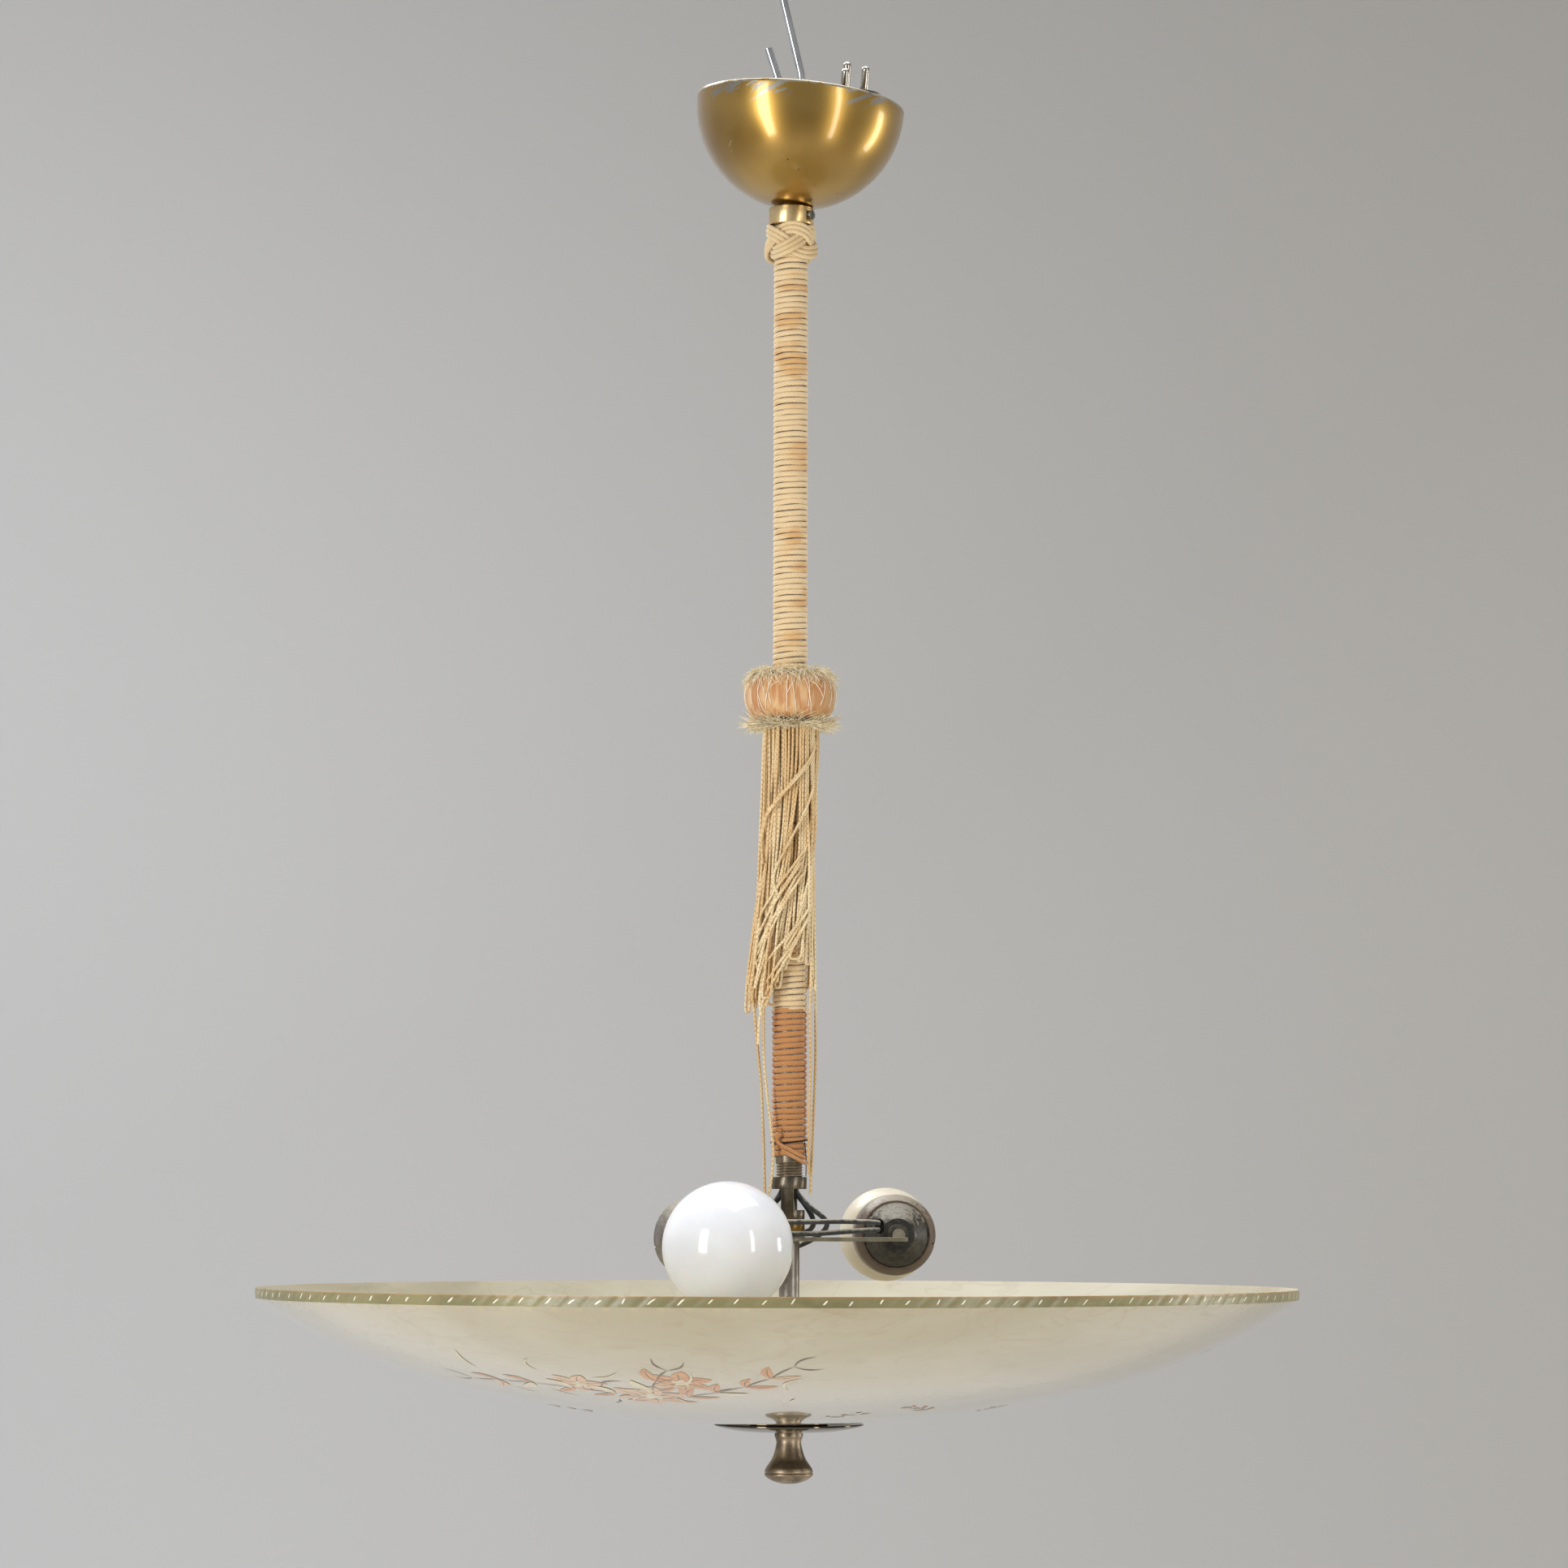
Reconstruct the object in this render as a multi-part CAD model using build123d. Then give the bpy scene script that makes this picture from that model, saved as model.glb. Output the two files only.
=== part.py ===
from build123d import *

import math
import os

# Glass ceiling lamp: a bowl on a corded stem, with two lampholders above the bowl.
# Millimetres. The origin is the middle of the S-hook's upper bend, +Z is up, and -Y is the front.
# Heights are first worked out from the tip of the finial, the lowest point, and then lowered.

os.makedirs("parts", exist_ok=True)

# Finial, bottom disc and bowl seat
FINIAL_LENGTH = 24.8
FINIAL_RADIUS = 11.7
FINIAL_BELLY_HEIGHT = 4.9
FINIAL_WAIST_RADIUS = 5.9
FINIAL_WAIST_HEIGHT = 19.8
FINIAL_TOP_RADIUS = 6.7
ROD_IN_FINIAL = 17.0
ROD_TIP_CLEARANCE = 1.1
DISC_RADIUS = 35.7
DISC_WALL = 1.0
DISC_SEAT_MARGIN = 0.5
DISC_RISE = 2.7
WASHER_LAP = 2.0
LOWER_WASHER_HEIGHT = 2.2
UPPER_WASHER_HEIGHT = 2.0
SEAT_CUP_MARGIN = 1.8
SEAT_CUP_HEIGHT = 3.0
SEAT_CUP_WALL = 1.2
BOWL_NUT_HEIGHT = 5.0
NUT_FLATS = 14.0

# Glass bowl
BOWL_RADIUS = 247.7
BOWL_CROWN_RADIUS = 642.0
BOWL_CROWN_REACH = 152.9
BOWL_SHOULDER_RADIUS = 302.6
GLASS_WALL = 4.0
BOWL_SHIFT = -5.6
BOWL_HOLE_CLEARANCE = 0.4

# Lower rod and hub
ROD_RADIUS = 4.9
ROD_BORE_RADIUS = 3.0
ROD_LENGTH = 121.4
ROD_TOP_RECESS = 0.4
RUNNING_CLEARANCE = 0.05
HUB_CLEARANCE = 0.05
YOKE_RING_RADIUS = 7.4
YOKE_RING_HEIGHT = 5.0
YOKE_WINDOW_HEIGHT = 10.0
YOKE_WINDOW_BORE = 5.0
YOKE_STRUT_WIDTH = 6.2
YOKE_TURN = -8.0
YOKE_FLANGE_RADIUS = 8.4
YOKE_FLANGE_HEIGHT = 5.7
BRASS_RING_HEIGHT = 5.4
JAM_NUT_HEIGHT = 2.5

# Arm bar
ARM_THICKNESS = 2.0
ARM_WIDTH = 10.0
ARM_REACH = 53.0
ARM_END = 3.5
ARM_HUB_RADIUS = 9.0
RIGHT_ARM_AZIMUTH = 3.5
LEFT_ARM_AZIMUTH = 195.0
LEFT_DROOP = 3.5
EAR_THICKNESS = 2.0
EAR_RADIUS = 3.0
EAR_HOLE_RISE = 1.0
STUD_RADIUS = 1.9

# Lampholder, measured along its axis from the ear
CAP_BOSS_RADIUS = 5.2
CAP_BOSS_LENGTH = 3.0
CAP_BACK_RADIUS = 8.0
CAP_RADIUS = 15.7
CAP_CONE_LENGTH = 10.0
CAP_SKIRT_LENGTH = 5.0
CAP_WALL = 1.8
STUD_IN_CAP = 5.0
WIRE_HOLE_OUT = 8.7
WIRE_HOLE_RISE = 4.1
WIRE_HOLE_SPACING = 3.3
WIRE_HOLE_RADIUS = 1.9
SHELL_RADIUS = 19.5
SHELL_WALL = 1.6
SHELL_SHOULDER = 5.0
SHELL_LENGTH = 24.0
SHELL_SLIT = 1.0
SHELL_SLIT_AZIMUTH = -13.0
HOLDER_CLEARANCE = 0.1
INSERT_SPIGOT = 3.0
INSERT_FLANGE = 1.5
INSERT_BORE = 3.0
SLEEVE_RADIUS = 14.1
SLEEVE_BORE = 13.35
SLEEVE_LENGTH = 17.0
CONTACT_WIDTH = 5.0
CONTACT_THICKNESS = 0.6

# Bulbs
BULB_BASE_RADIUS = 13.1
BULB_BASE_LENGTH = 24.0
BULB_TIP_RADIUS = 5.0
BULB_TIP_LENGTH = 2.0
BULB_NECK_LENGTH = 3.5
GLOBE_RADIUS = 30.0
GLOBE_BULB_LENGTH = 91.5
GOLF_RADIUS = 23.0
GOLF_BULB_LENGTH = 76.0
BULB_NECK_SHARE = 0.62

# Stem tube and its cord winding
PIPE_RADIUS = 6.58
PIPE_BORE_RADIUS = 4.5
PIPE_LENGTH = 508.0
PIPE_END_RECESS = 0.4
BARE_PIPE = 8.2
CORD_THICKNESS = 1.87
CORD_CLEARANCE = 0.1
LOWER_WINDING_LENGTH = 210.8
OPEN_TURNS = 24
OPEN_PITCH = 2.83
SAMPLES_PER_TURN = 36
PIPE_ABOVE_KNOT = 42.0
SOFT_GAP = 0.3
KNOT_RADIUS = 13.3
KNOT_SHOULDER_RADIUS = 10.0
KNOT_HEIGHT = 16.4

# Ruff, fringes and tassel
RUFF_RADIUS = 22.1
RUFF_HEIGHT = 22.1
FRINGE_TOP_RADIUS = 15.5
FRINGE_TOP_HEIGHT = 2.4
FRINGE_FOOT_RADIUS = 20.0
FRINGE_FOOT_HEIGHT = 3.4
SKIRT_LENGTH = 135.5
SKIRT_TOP_RADIUS = 12.6
SKIRT_MIDDLE_RADIUS = 13.8
SKIRT_FOOT_RADIUS = 16.0
SKIRT_FOOT_DRIFT = -3.0
SKIRT_LOCKS = 14
SKIRT_LOCK_RELIEF = 1.3
STRAND_DIAMETER = 1.3

# Ceiling cup
COLLAR_RADIUS = 10.9
COLLAR_HEIGHT = 8.5
COLLAR_CLEARANCE = 0.25
COLLAR_GAP = 0.3
CUP_RADIUS = 50.6
CUP_DEPTH = 52.0
CUP_WALL = 1.0
CUP_TILT = 5.0
CUP_HOLE_RADIUS = 7.3
CUP_SEAT_GAP = 0.25
SET_SCREW_RADIUS = 1.95
SET_SCREW_HEAD_RADIUS = 2.2
SET_SCREW_HEAD_LENGTH = 1.6
SET_SCREW_AZIMUTH = -35.0
SET_SCREW_TIP_GAP = 0.15

# Suspension loop and S-hook
LOOP_COLLAR_RADIUS = 10.6
LOOP_COLLAR_HEIGHT = 14.0
LOOP_ROOF = 2.0
LOOP_WIRE_RADIUS = 1.8
LOOP_BEND_RADIUS = 8.0
LOOP_LEG_LENGTH = 15.3
LOOP_WIRE_WAY_RADIUS = 4.0
HOOK_WIRE_RADIUS = 1.95
HOOK_BEND_RADIUS = 4.8
HOOK_HEIGHT = 84.0
HOOK_SEAT_GAP = 0.35
HOOK_TIP_LEAN = 17.6
HOOK_TIP_LENGTH = 22.3
HOOK_SHANK_LEAN = 13.2
HOOK_STRAIGHT = 6.5
HOOK_CORNER_RADIUS = 18.0

# Plug
PLUG_RADIUS = 13.0
PLUG_LENGTH = 17.0
PLUG_RIM = 0.5
PLUG_RIM_HEIGHT = 1.2
PLUG_TAPER = 1.0
PLUG_COVER_LENGTH = 14.0
PLUG_TAIL_RADIUS = 4.5
PLUG_AT = (30.6, 11.0)
PLUG_FACE_ABOVE_RIM = 7.5
PLUG_LEAN_FRONT = 20.0
PLUG_LEAN_RIGHT = 4.5
PIN_RADIUS = 2.0
PIN_LENGTH = 13.0
EARTH_PIN_EXTRA = 2.0
PIN_SPACING = 19.0
EARTH_PIN_OFFSET = 5.0
PIN_TURN = 58.0

# Cables
SUPPLY_DIAMETER = 3.5
FEED_DIAMETER = 2.6
FEED_TOP_GAP = 0.3


# Seat of the bowl, which hangs a little to the left of the stem's axis
bowl_hole_radius = ROD_RADIUS + BOWL_HOLE_CLEARANCE + abs(BOWL_SHIFT)
soft_washer_radius = bowl_hole_radius + abs(BOWL_SHIFT) + WASHER_LAP
disc_seat_radius = soft_washer_radius + DISC_SEAT_MARGIN
seat_cup_radius = soft_washer_radius + SEAT_CUP_MARGIN
washer_sag = (soft_washer_radius + abs(BOWL_SHIFT)) ** 2 / (2 * (BOWL_CROWN_RADIUS - GLASS_WALL))


# Heights of the stack, from the tip of the finial up
disc_top = FINIAL_LENGTH + DISC_WALL
bowl_pole = disc_top + LOWER_WASHER_HEIGHT
glass_floor = bowl_pole + GLASS_WALL
upper_washer_foot = glass_floor + washer_sag
seat_cup_floor = upper_washer_foot + UPPER_WASHER_HEIGHT
bowl_nut_foot = seat_cup_floor + SEAT_CUP_WALL
rod_foot = FINIAL_LENGTH - ROD_IN_FINIAL
rod_top = rod_foot + ROD_LENGTH
yoke_window_foot = rod_top + ROD_TOP_RECESS
yoke_foot = yoke_window_foot - YOKE_RING_HEIGHT
yoke_flange_foot = yoke_window_foot + YOKE_WINDOW_HEIGHT
yoke_top = yoke_flange_foot + YOKE_FLANGE_HEIGHT
jam_nut_top = yoke_foot - BRASS_RING_HEIGHT
arm_top = jam_nut_top - JAM_NUT_HEIGHT
arm_foot = arm_top - ARM_THICKNESS
holder_height = arm_top + EAR_HOLE_RISE
pipe_foot = yoke_flange_foot + PIPE_END_RECESS
pipe_top = pipe_foot + PIPE_LENGTH
lower_winding_foot = yoke_top + BARE_PIPE
open_winding_top = lower_winding_foot + OPEN_TURNS * OPEN_PITCH + CORD_THICKNESS
lower_winding_top = lower_winding_foot + LOWER_WINDING_LENGTH
upper_winding_foot = lower_winding_top + SOFT_GAP
winding_radius = PIPE_RADIUS + CORD_THICKNESS
knot_top = pipe_top - PIPE_ABOVE_KNOT
knot_foot = knot_top - KNOT_HEIGHT
upper_winding_top = knot_foot - SOFT_GAP
ruff_foot = upper_winding_foot
ruff_top = ruff_foot + RUFF_HEIGHT
fringe_foot = ruff_foot - SOFT_GAP - FRINGE_FOOT_HEIGHT
skirt_top = fringe_foot - SOFT_GAP
skirt_foot = skirt_top - SKIRT_LENGTH
collar_foot = knot_top + COLLAR_GAP
collar_top = collar_foot + COLLAR_HEIGHT
cup_pole = collar_top + CUP_SEAT_GAP
loop_roof = pipe_top + SOFT_GAP + LOOP_ROOF
loop_foot = loop_roof - LOOP_COLLAR_HEIGHT
loop_bend = loop_roof + LOOP_LEG_LENGTH
loop_crown = loop_bend + LOOP_BEND_RADIUS
hook_seat = loop_crown - LOOP_WIRE_RADIUS - HOOK_SEAT_GAP
hook_lower_bend = hook_seat - HOOK_WIRE_RADIUS + HOOK_BEND_RADIUS
hook_span = HOOK_HEIGHT - 2 * (HOOK_BEND_RADIUS + HOOK_WIRE_RADIUS)
hang_height = hook_lower_bend + hook_span


def save(name, shape):
    """Lower the shape into the part's own frame and write it."""
    export_step(Pos(0, 0, -hang_height) * shape, f"parts/{name}.step")


def turned(*edges):
    """Revolve a closed outline, drawn as (radius, height), about the Z axis."""
    outline = Curve() + [edge for edge in edges]
    return revolve(Plane.XZ * make_face(outline), Axis.Z)


def turned_points(*points):
    """Revolve a closed outline of straight lines about the Z axis."""
    return turned(Polyline(*points, close=True))


def ring(outer, inner, foot, height):
    """A plain ring with its foot at the given height."""
    return turned_points((inner, foot), (outer, foot), (outer, foot + height), (inner, foot + height))


def peg(radius, foot, height):
    """A solid round peg with its foot at the given height."""
    return Pos(0, 0, foot + height / 2) * Cylinder(radius, height)


def hex_nut(flats, bore, foot, height):
    """A hexagon nut with chamfered corners."""
    blank = extrude(Pos(0, 0, foot) * RegularPolygon(flats / 2, 6, major_radius=False), height)
    corner = flats / math.sqrt(3)
    bevel = (corner - flats / 2) * 0.8
    envelope = turned_points(
        (0, foot),
        (corner - bevel, foot),
        (corner, foot + bevel / 2),
        (corner, foot + height - bevel / 2),
        (corner - bevel, foot + height),
        (0, foot + height),
    )
    return (blank & envelope) - peg(bore, foot - height, 3 * height)


def corner_radii(points):
    """The largest arc that each corner of a cord's route allows."""
    radii = []
    for before, corner, after in zip(points, points[1:], points[2:]):
        inward = Vector(*corner) - Vector(*before)
        outward = Vector(*after) - Vector(*corner)
        half_turn = math.radians(inward.get_angle(outward)) / 2
        radii.append(0.45 * min(inward.length, outward.length) / math.tan(half_turn))
    return radii


def cord_tube(name, points, diameter, sides=0):
    """A cord of straight runs and tangent arcs, round or with flat sides."""
    radii = corner_radii(points)
    path = FilletPolyline(*points, radius=radii)
    if sides:
        section = RegularPolygon(diameter / 2, sides)
    else:
        section = Circle(diameter / 2)
    start = Plane(origin=path @ 0, z_dir=path % 0)
    tube = sweep(start * section, path=path)
    drawn = section.area * path.length
    print(
        f"{name}: length {path.length:.1f}, smallest radius {min(radii):.1f} "
        f"({min(radii) / diameter:.1f} diameters), volume {tube.volume / drawn:.4f} of section x length"
    )
    return tube


# Finial, disc and bowl seat


def finial_knob():
    """Domed foot, round belly, hollow neck and a small lip at the top."""
    neck_foot_radius = FINIAL_RADIUS * 0.72
    neck_foot = FINIAL_BELLY_HEIGHT + (FINIAL_WAIST_HEIGHT - FINIAL_BELLY_HEIGHT) * 0.42
    lip = (FINIAL_LENGTH - FINIAL_WAIST_HEIGHT) * 0.5
    profile = [
        ThreePointArc(
            (0, 0),
            (FINIAL_RADIUS * 0.75, FINIAL_BELLY_HEIGHT * 0.34),
            (FINIAL_RADIUS, FINIAL_BELLY_HEIGHT),
        ),
        ThreePointArc(
            (FINIAL_RADIUS, FINIAL_BELLY_HEIGHT),
            (FINIAL_RADIUS * 0.94, FINIAL_BELLY_HEIGHT * 1.75),
            (neck_foot_radius, neck_foot),
        ),
        ThreePointArc(
            (neck_foot_radius, neck_foot),
            (FINIAL_WAIST_RADIUS * 1.08, FINIAL_WAIST_HEIGHT * 0.82),
            (FINIAL_WAIST_RADIUS, FINIAL_WAIST_HEIGHT),
        ),
        Line((FINIAL_WAIST_RADIUS, FINIAL_WAIST_HEIGHT), (FINIAL_TOP_RADIUS, FINIAL_LENGTH - lip)),
        Line((FINIAL_TOP_RADIUS, FINIAL_LENGTH - lip), (FINIAL_TOP_RADIUS, FINIAL_LENGTH)),
        Line((FINIAL_TOP_RADIUS, FINIAL_LENGTH), (0, FINIAL_LENGTH)),
        Line((0, FINIAL_LENGTH), (0, 0)),
    ]
    bore_foot = rod_foot - ROD_TIP_CLEARANCE
    bore = peg(ROD_RADIUS + RUNNING_CLEARANCE, bore_foot, FINIAL_LENGTH)
    return turned(*profile) - bore


def bottom_disc():
    """Shallow dish: a flat seat at the middle, then a gentle sweep up to the glass."""
    hole = ROD_RADIUS + COLLAR_CLEARANCE
    sag = 0.3 * DISC_RISE
    middle = (disc_seat_radius + DISC_RADIUS) / 2
    under = ThreePointArc(
        (disc_seat_radius, FINIAL_LENGTH),
        (middle, FINIAL_LENGTH + sag),
        (DISC_RADIUS, FINIAL_LENGTH + DISC_RISE),
    )
    over = ThreePointArc(
        (DISC_RADIUS, FINIAL_LENGTH + DISC_RISE + DISC_WALL),
        (middle, FINIAL_LENGTH + sag + DISC_WALL),
        (disc_seat_radius, disc_top),
    )
    return turned(
        Line((hole, FINIAL_LENGTH), (disc_seat_radius, FINIAL_LENGTH)),
        under,
        Line(under @ 1, over @ 0),
        over,
        Line((disc_seat_radius, disc_top), (hole, disc_top)),
        Line((hole, disc_top), (hole, FINIAL_LENGTH)),
    )


def glass_bowl():
    """Slumped glass: a flat crown arc and a closer shoulder arc, cut off upright at the rim."""
    crown = math.degrees(math.asin(BOWL_CROWN_REACH / BOWL_CROWN_RADIUS))
    crown_centre = (0, bowl_pole + BOWL_CROWN_RADIUS)
    back = BOWL_CROWN_RADIUS - BOWL_SHOULDER_RADIUS
    shoulder_centre = (
        back * math.sin(math.radians(crown)),
        crown_centre[1] - back * math.cos(math.radians(crown)),
    )
    reach = BOWL_RADIUS - shoulder_centre[0]
    outer_end = math.degrees(math.asin(reach / BOWL_SHOULDER_RADIUS))
    inner_end = math.degrees(math.asin(reach / (BOWL_SHOULDER_RADIUS - GLASS_WALL)))
    outer_crown = CenterArc(crown_centre, BOWL_CROWN_RADIUS, -90, crown)
    outer_shoulder = CenterArc(shoulder_centre, BOWL_SHOULDER_RADIUS, crown - 90, outer_end - crown)
    inner_crown = CenterArc(crown_centre, BOWL_CROWN_RADIUS - GLASS_WALL, -90, crown)
    inner_shoulder = CenterArc(
        shoulder_centre,
        BOWL_SHOULDER_RADIUS - GLASS_WALL,
        crown - 90,
        inner_end - crown,
    )
    blank = turned(
        outer_crown,
        outer_shoulder,
        Line(outer_shoulder @ 1, inner_shoulder @ 1),
        inner_shoulder,
        inner_crown,
        Line(inner_crown @ 0, outer_crown @ 0),
    )
    return Pos(BOWL_SHIFT, 0, 0) * (blank - peg(bowl_hole_radius, 0, hang_height))


def bowl_seat_cup():
    """Steel cup that presses the upper washer on the glass."""
    hole = ROD_RADIUS + HUB_CLEARANCE
    return turned_points(
        (hole, seat_cup_floor),
        (seat_cup_radius, seat_cup_floor),
        (seat_cup_radius, seat_cup_floor + SEAT_CUP_HEIGHT),
        (seat_cup_radius - SEAT_CUP_WALL, seat_cup_floor + SEAT_CUP_HEIGHT),
        (seat_cup_radius - SEAT_CUP_WALL, bowl_nut_foot),
        (hole, bowl_nut_foot),
    )


# Hub: lower rod, yoke, nuts and the arm bar


def window_yoke():
    """Lower ring, two struts with a window on each side, and the flange on the pipe."""
    blank = ring(YOKE_RING_RADIUS, 0, yoke_foot, yoke_flange_foot - yoke_foot)
    blank += ring(YOKE_FLANGE_RADIUS, 0, yoke_flange_foot, YOKE_FLANGE_HEIGHT)
    blank -= peg(ROD_RADIUS + HUB_CLEARANCE, yoke_foot, YOKE_RING_HEIGHT)
    blank -= peg(YOKE_WINDOW_BORE, yoke_window_foot, YOKE_WINDOW_HEIGHT + YOKE_FLANGE_HEIGHT)
    blank -= peg(PIPE_RADIUS + HUB_CLEARANCE, pipe_foot, YOKE_FLANGE_HEIGHT)
    window_middle = yoke_window_foot + YOKE_WINDOW_HEIGHT / 2
    side = YOKE_STRUT_WIDTH / 2 + YOKE_RING_RADIUS
    for across in (-side, side):
        cut = Box(2 * YOKE_RING_RADIUS, 3 * YOKE_RING_RADIUS, YOKE_WINDOW_HEIGHT)
        blank -= Pos(across, 0, window_middle) * cut
    return Rot(0, 0, YOKE_TURN) * blank


def arm_blank(azimuth):
    """One half of the bar, from the hub out to its folded ear."""
    length = ARM_REACH + ARM_END
    half = Pos(length / 2, 0, arm_foot + ARM_THICKNESS / 2) * Box(length, ARM_WIDTH, ARM_THICKNESS)
    return Rot(0, 0, azimuth) * half


def ear(azimuth, droop):
    """Tab folded up from the bar's edge, with a round top and the stud's hole."""
    rise = holder_height - arm_foot
    plate = extrude(
        Pos(0, rise / 2) * Rectangle(2 * EAR_RADIUS, rise) + Pos(0, rise) * Circle(EAR_RADIUS),
        EAR_THICKNESS,
    )
    hole = Pos(0, rise, EAR_THICKNESS / 2) * Cylinder(STUD_RADIUS + HUB_CLEARANCE, 2 * EAR_THICKNESS)
    upright = Pos(ARM_REACH, ARM_WIDTH / 2 + EAR_THICKNESS, arm_foot) * Rot(90 - droop, 0, 0)
    fold = Pos(ARM_REACH, ARM_WIDTH / 2 + EAR_THICKNESS / 2, arm_foot + ARM_THICKNESS / 2)
    tab = upright * plate + fold * Box(2 * EAR_RADIUS, EAR_THICKNESS, ARM_THICKNESS)
    return Rot(0, 0, azimuth) * (tab - upright * hole)


def arm_bar():
    """One flat bar with a small bend at the hub, tapped for the rod, with an ear at each end."""
    bar = ring(ARM_HUB_RADIUS, 0, arm_foot, ARM_THICKNESS)
    bar += arm_blank(RIGHT_ARM_AZIMUTH) + arm_blank(LEFT_ARM_AZIMUTH)
    bar += ear(RIGHT_ARM_AZIMUTH, 0)
    bar += ear(LEFT_ARM_AZIMUTH, LEFT_DROOP)
    return bar - peg(ROD_RADIUS + HUB_CLEARANCE, arm_foot - ARM_THICKNESS, 3 * ARM_THICKNESS)


# Lampholders and bulbs, drawn along Z from the ear's outer face


def holder_place(azimuth, droop):
    """Where a lampholder sits: local Z is its axis, local X runs out along the arm."""
    fold = Pos(ARM_REACH, ARM_WIDTH / 2 + EAR_THICKNESS, arm_foot) * Rot(-90 - droop, 0, 0)
    return Rot(0, 0, azimuth) * fold * Pos(0, arm_foot - holder_height, 0)


cap_shoulder = CAP_BOSS_LENGTH + CAP_CONE_LENGTH
cap_end = cap_shoulder + CAP_SKIRT_LENGTH
shell_end = cap_shoulder + SHELL_LENGTH
sleeve_foot = cap_end + HOLDER_CLEARANCE + INSERT_FLANGE
bulb_tip = sleeve_foot + CONTACT_THICKNESS + HOLDER_CLEARANCE


def holder_cap():
    """Moulded cap: a small boss, a cone and a skirt, hollow inside, with one wire hole."""
    body = turned_points(
        (0, 0),
        (CAP_BOSS_RADIUS, 0),
        (CAP_BOSS_RADIUS, CAP_BOSS_LENGTH),
        (CAP_BACK_RADIUS, CAP_BOSS_LENGTH),
        (CAP_RADIUS, cap_shoulder),
        (CAP_RADIUS, cap_end),
        (0, cap_end),
    )
    hollow = turned_points(
        (0, CAP_BOSS_LENGTH + STUD_IN_CAP),
        (CAP_BACK_RADIUS, CAP_BOSS_LENGTH + STUD_IN_CAP),
        (CAP_RADIUS - CAP_WALL, cap_shoulder),
        (CAP_RADIUS - CAP_WALL, cap_end),
        (0, cap_end),
    )
    slot = SlotCenterToCenter(WIRE_HOLE_SPACING, 2 * WIRE_HOLE_RADIUS)
    mouth = extrude(Pos(-WIRE_HOLE_OUT, -WIRE_HOLE_RISE) * Rot(0, 0, 90) * slot, cap_shoulder)
    stud_hole = peg(STUD_RADIUS + HUB_CLEARANCE, -1, STUD_IN_CAP + 1)
    return body - hollow - mouth - stud_hole


def holder_shell():
    """Outer ring: a shoulder that closes on the cap, then a straight wall, with one slit."""
    inner_neck = CAP_RADIUS + HOLDER_CLEARANCE
    body = turned_points(
        (inner_neck, cap_shoulder),
        (inner_neck + SHELL_WALL / 2, cap_shoulder),
        (SHELL_RADIUS, cap_shoulder + SHELL_SHOULDER),
        (SHELL_RADIUS, shell_end),
        (SHELL_RADIUS - SHELL_WALL, shell_end),
        (SHELL_RADIUS - SHELL_WALL, cap_shoulder + SHELL_SHOULDER),
        (inner_neck, cap_shoulder + SHELL_WALL),
    )
    slit_depth = SHELL_RADIUS - inner_neck
    slit = Pos(SHELL_RADIUS, 0, cap_shoulder + SHELL_SHOULDER) * Box(slit_depth, SHELL_SLIT, SHELL_SHOULDER)
    return body - Rot(0, 0, -SHELL_SLIT_AZIMUTH) * slit


def holder_insert():
    """Ceramic plate: a spigot in the cap, a flange across the shell, and the screw sleeve on it."""
    spigot = CAP_RADIUS - CAP_WALL - HOLDER_CLEARANCE
    flange = SHELL_RADIUS - SHELL_WALL - HOLDER_CLEARANCE
    return turned_points(
        (INSERT_BORE, cap_end - INSERT_SPIGOT),
        (spigot, cap_end - INSERT_SPIGOT),
        (spigot, cap_end + HOLDER_CLEARANCE),
        (flange, cap_end + HOLDER_CLEARANCE),
        (flange, sleeve_foot),
        (SLEEVE_RADIUS, sleeve_foot),
        (SLEEVE_RADIUS, sleeve_foot + SLEEVE_LENGTH),
        (SLEEVE_BORE, sleeve_foot + SLEEVE_LENGTH),
        (SLEEVE_BORE, sleeve_foot),
        (INSERT_BORE, sleeve_foot),
    )


def holder_contact():
    """Flat centre contact that lies on the plate."""
    tongue = Box(2 * CONTACT_WIDTH, CONTACT_WIDTH, CONTACT_THICKNESS)
    return Pos(0, 0, sleeve_foot + CONTACT_THICKNESS / 2) * tongue


def bulb_base():
    """Screw cap with a narrower contact end."""
    return turned_points(
        (0, bulb_tip),
        (BULB_TIP_RADIUS, bulb_tip),
        (BULB_TIP_RADIUS, bulb_tip + BULB_TIP_LENGTH / 2),
        (BULB_BASE_RADIUS, bulb_tip + 2 * BULB_TIP_LENGTH),
        (BULB_BASE_RADIUS, bulb_tip + BULB_BASE_LENGTH),
        (0, bulb_tip + BULB_BASE_LENGTH),
    )


def bulb_glass(radius, length):
    """Round bulb on a neck that opens out into the ball."""
    foot = bulb_tip + BULB_BASE_LENGTH
    centre = bulb_tip + length - radius
    join_radius = radius * BULB_NECK_SHARE
    join = centre - math.sqrt(radius**2 - join_radius**2)
    neck = foot + BULB_NECK_LENGTH
    waist = ((BULB_BASE_RADIUS + join_radius) / 2 - 0.25, neck + (join - neck) * 0.6)
    ball = ThreePointArc((join_radius, join), (radius, centre), (0, centre + radius))
    return turned(
        Line((0, foot), (BULB_BASE_RADIUS, foot)),
        Line((BULB_BASE_RADIUS, foot), (BULB_BASE_RADIUS, neck)),
        ThreePointArc((BULB_BASE_RADIUS, neck), waist, (join_radius, join)),
        ball,
        Line((0, centre + radius), (0, foot)),
    )


# Stem, cord winding, knot, ruff and tassel


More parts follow.
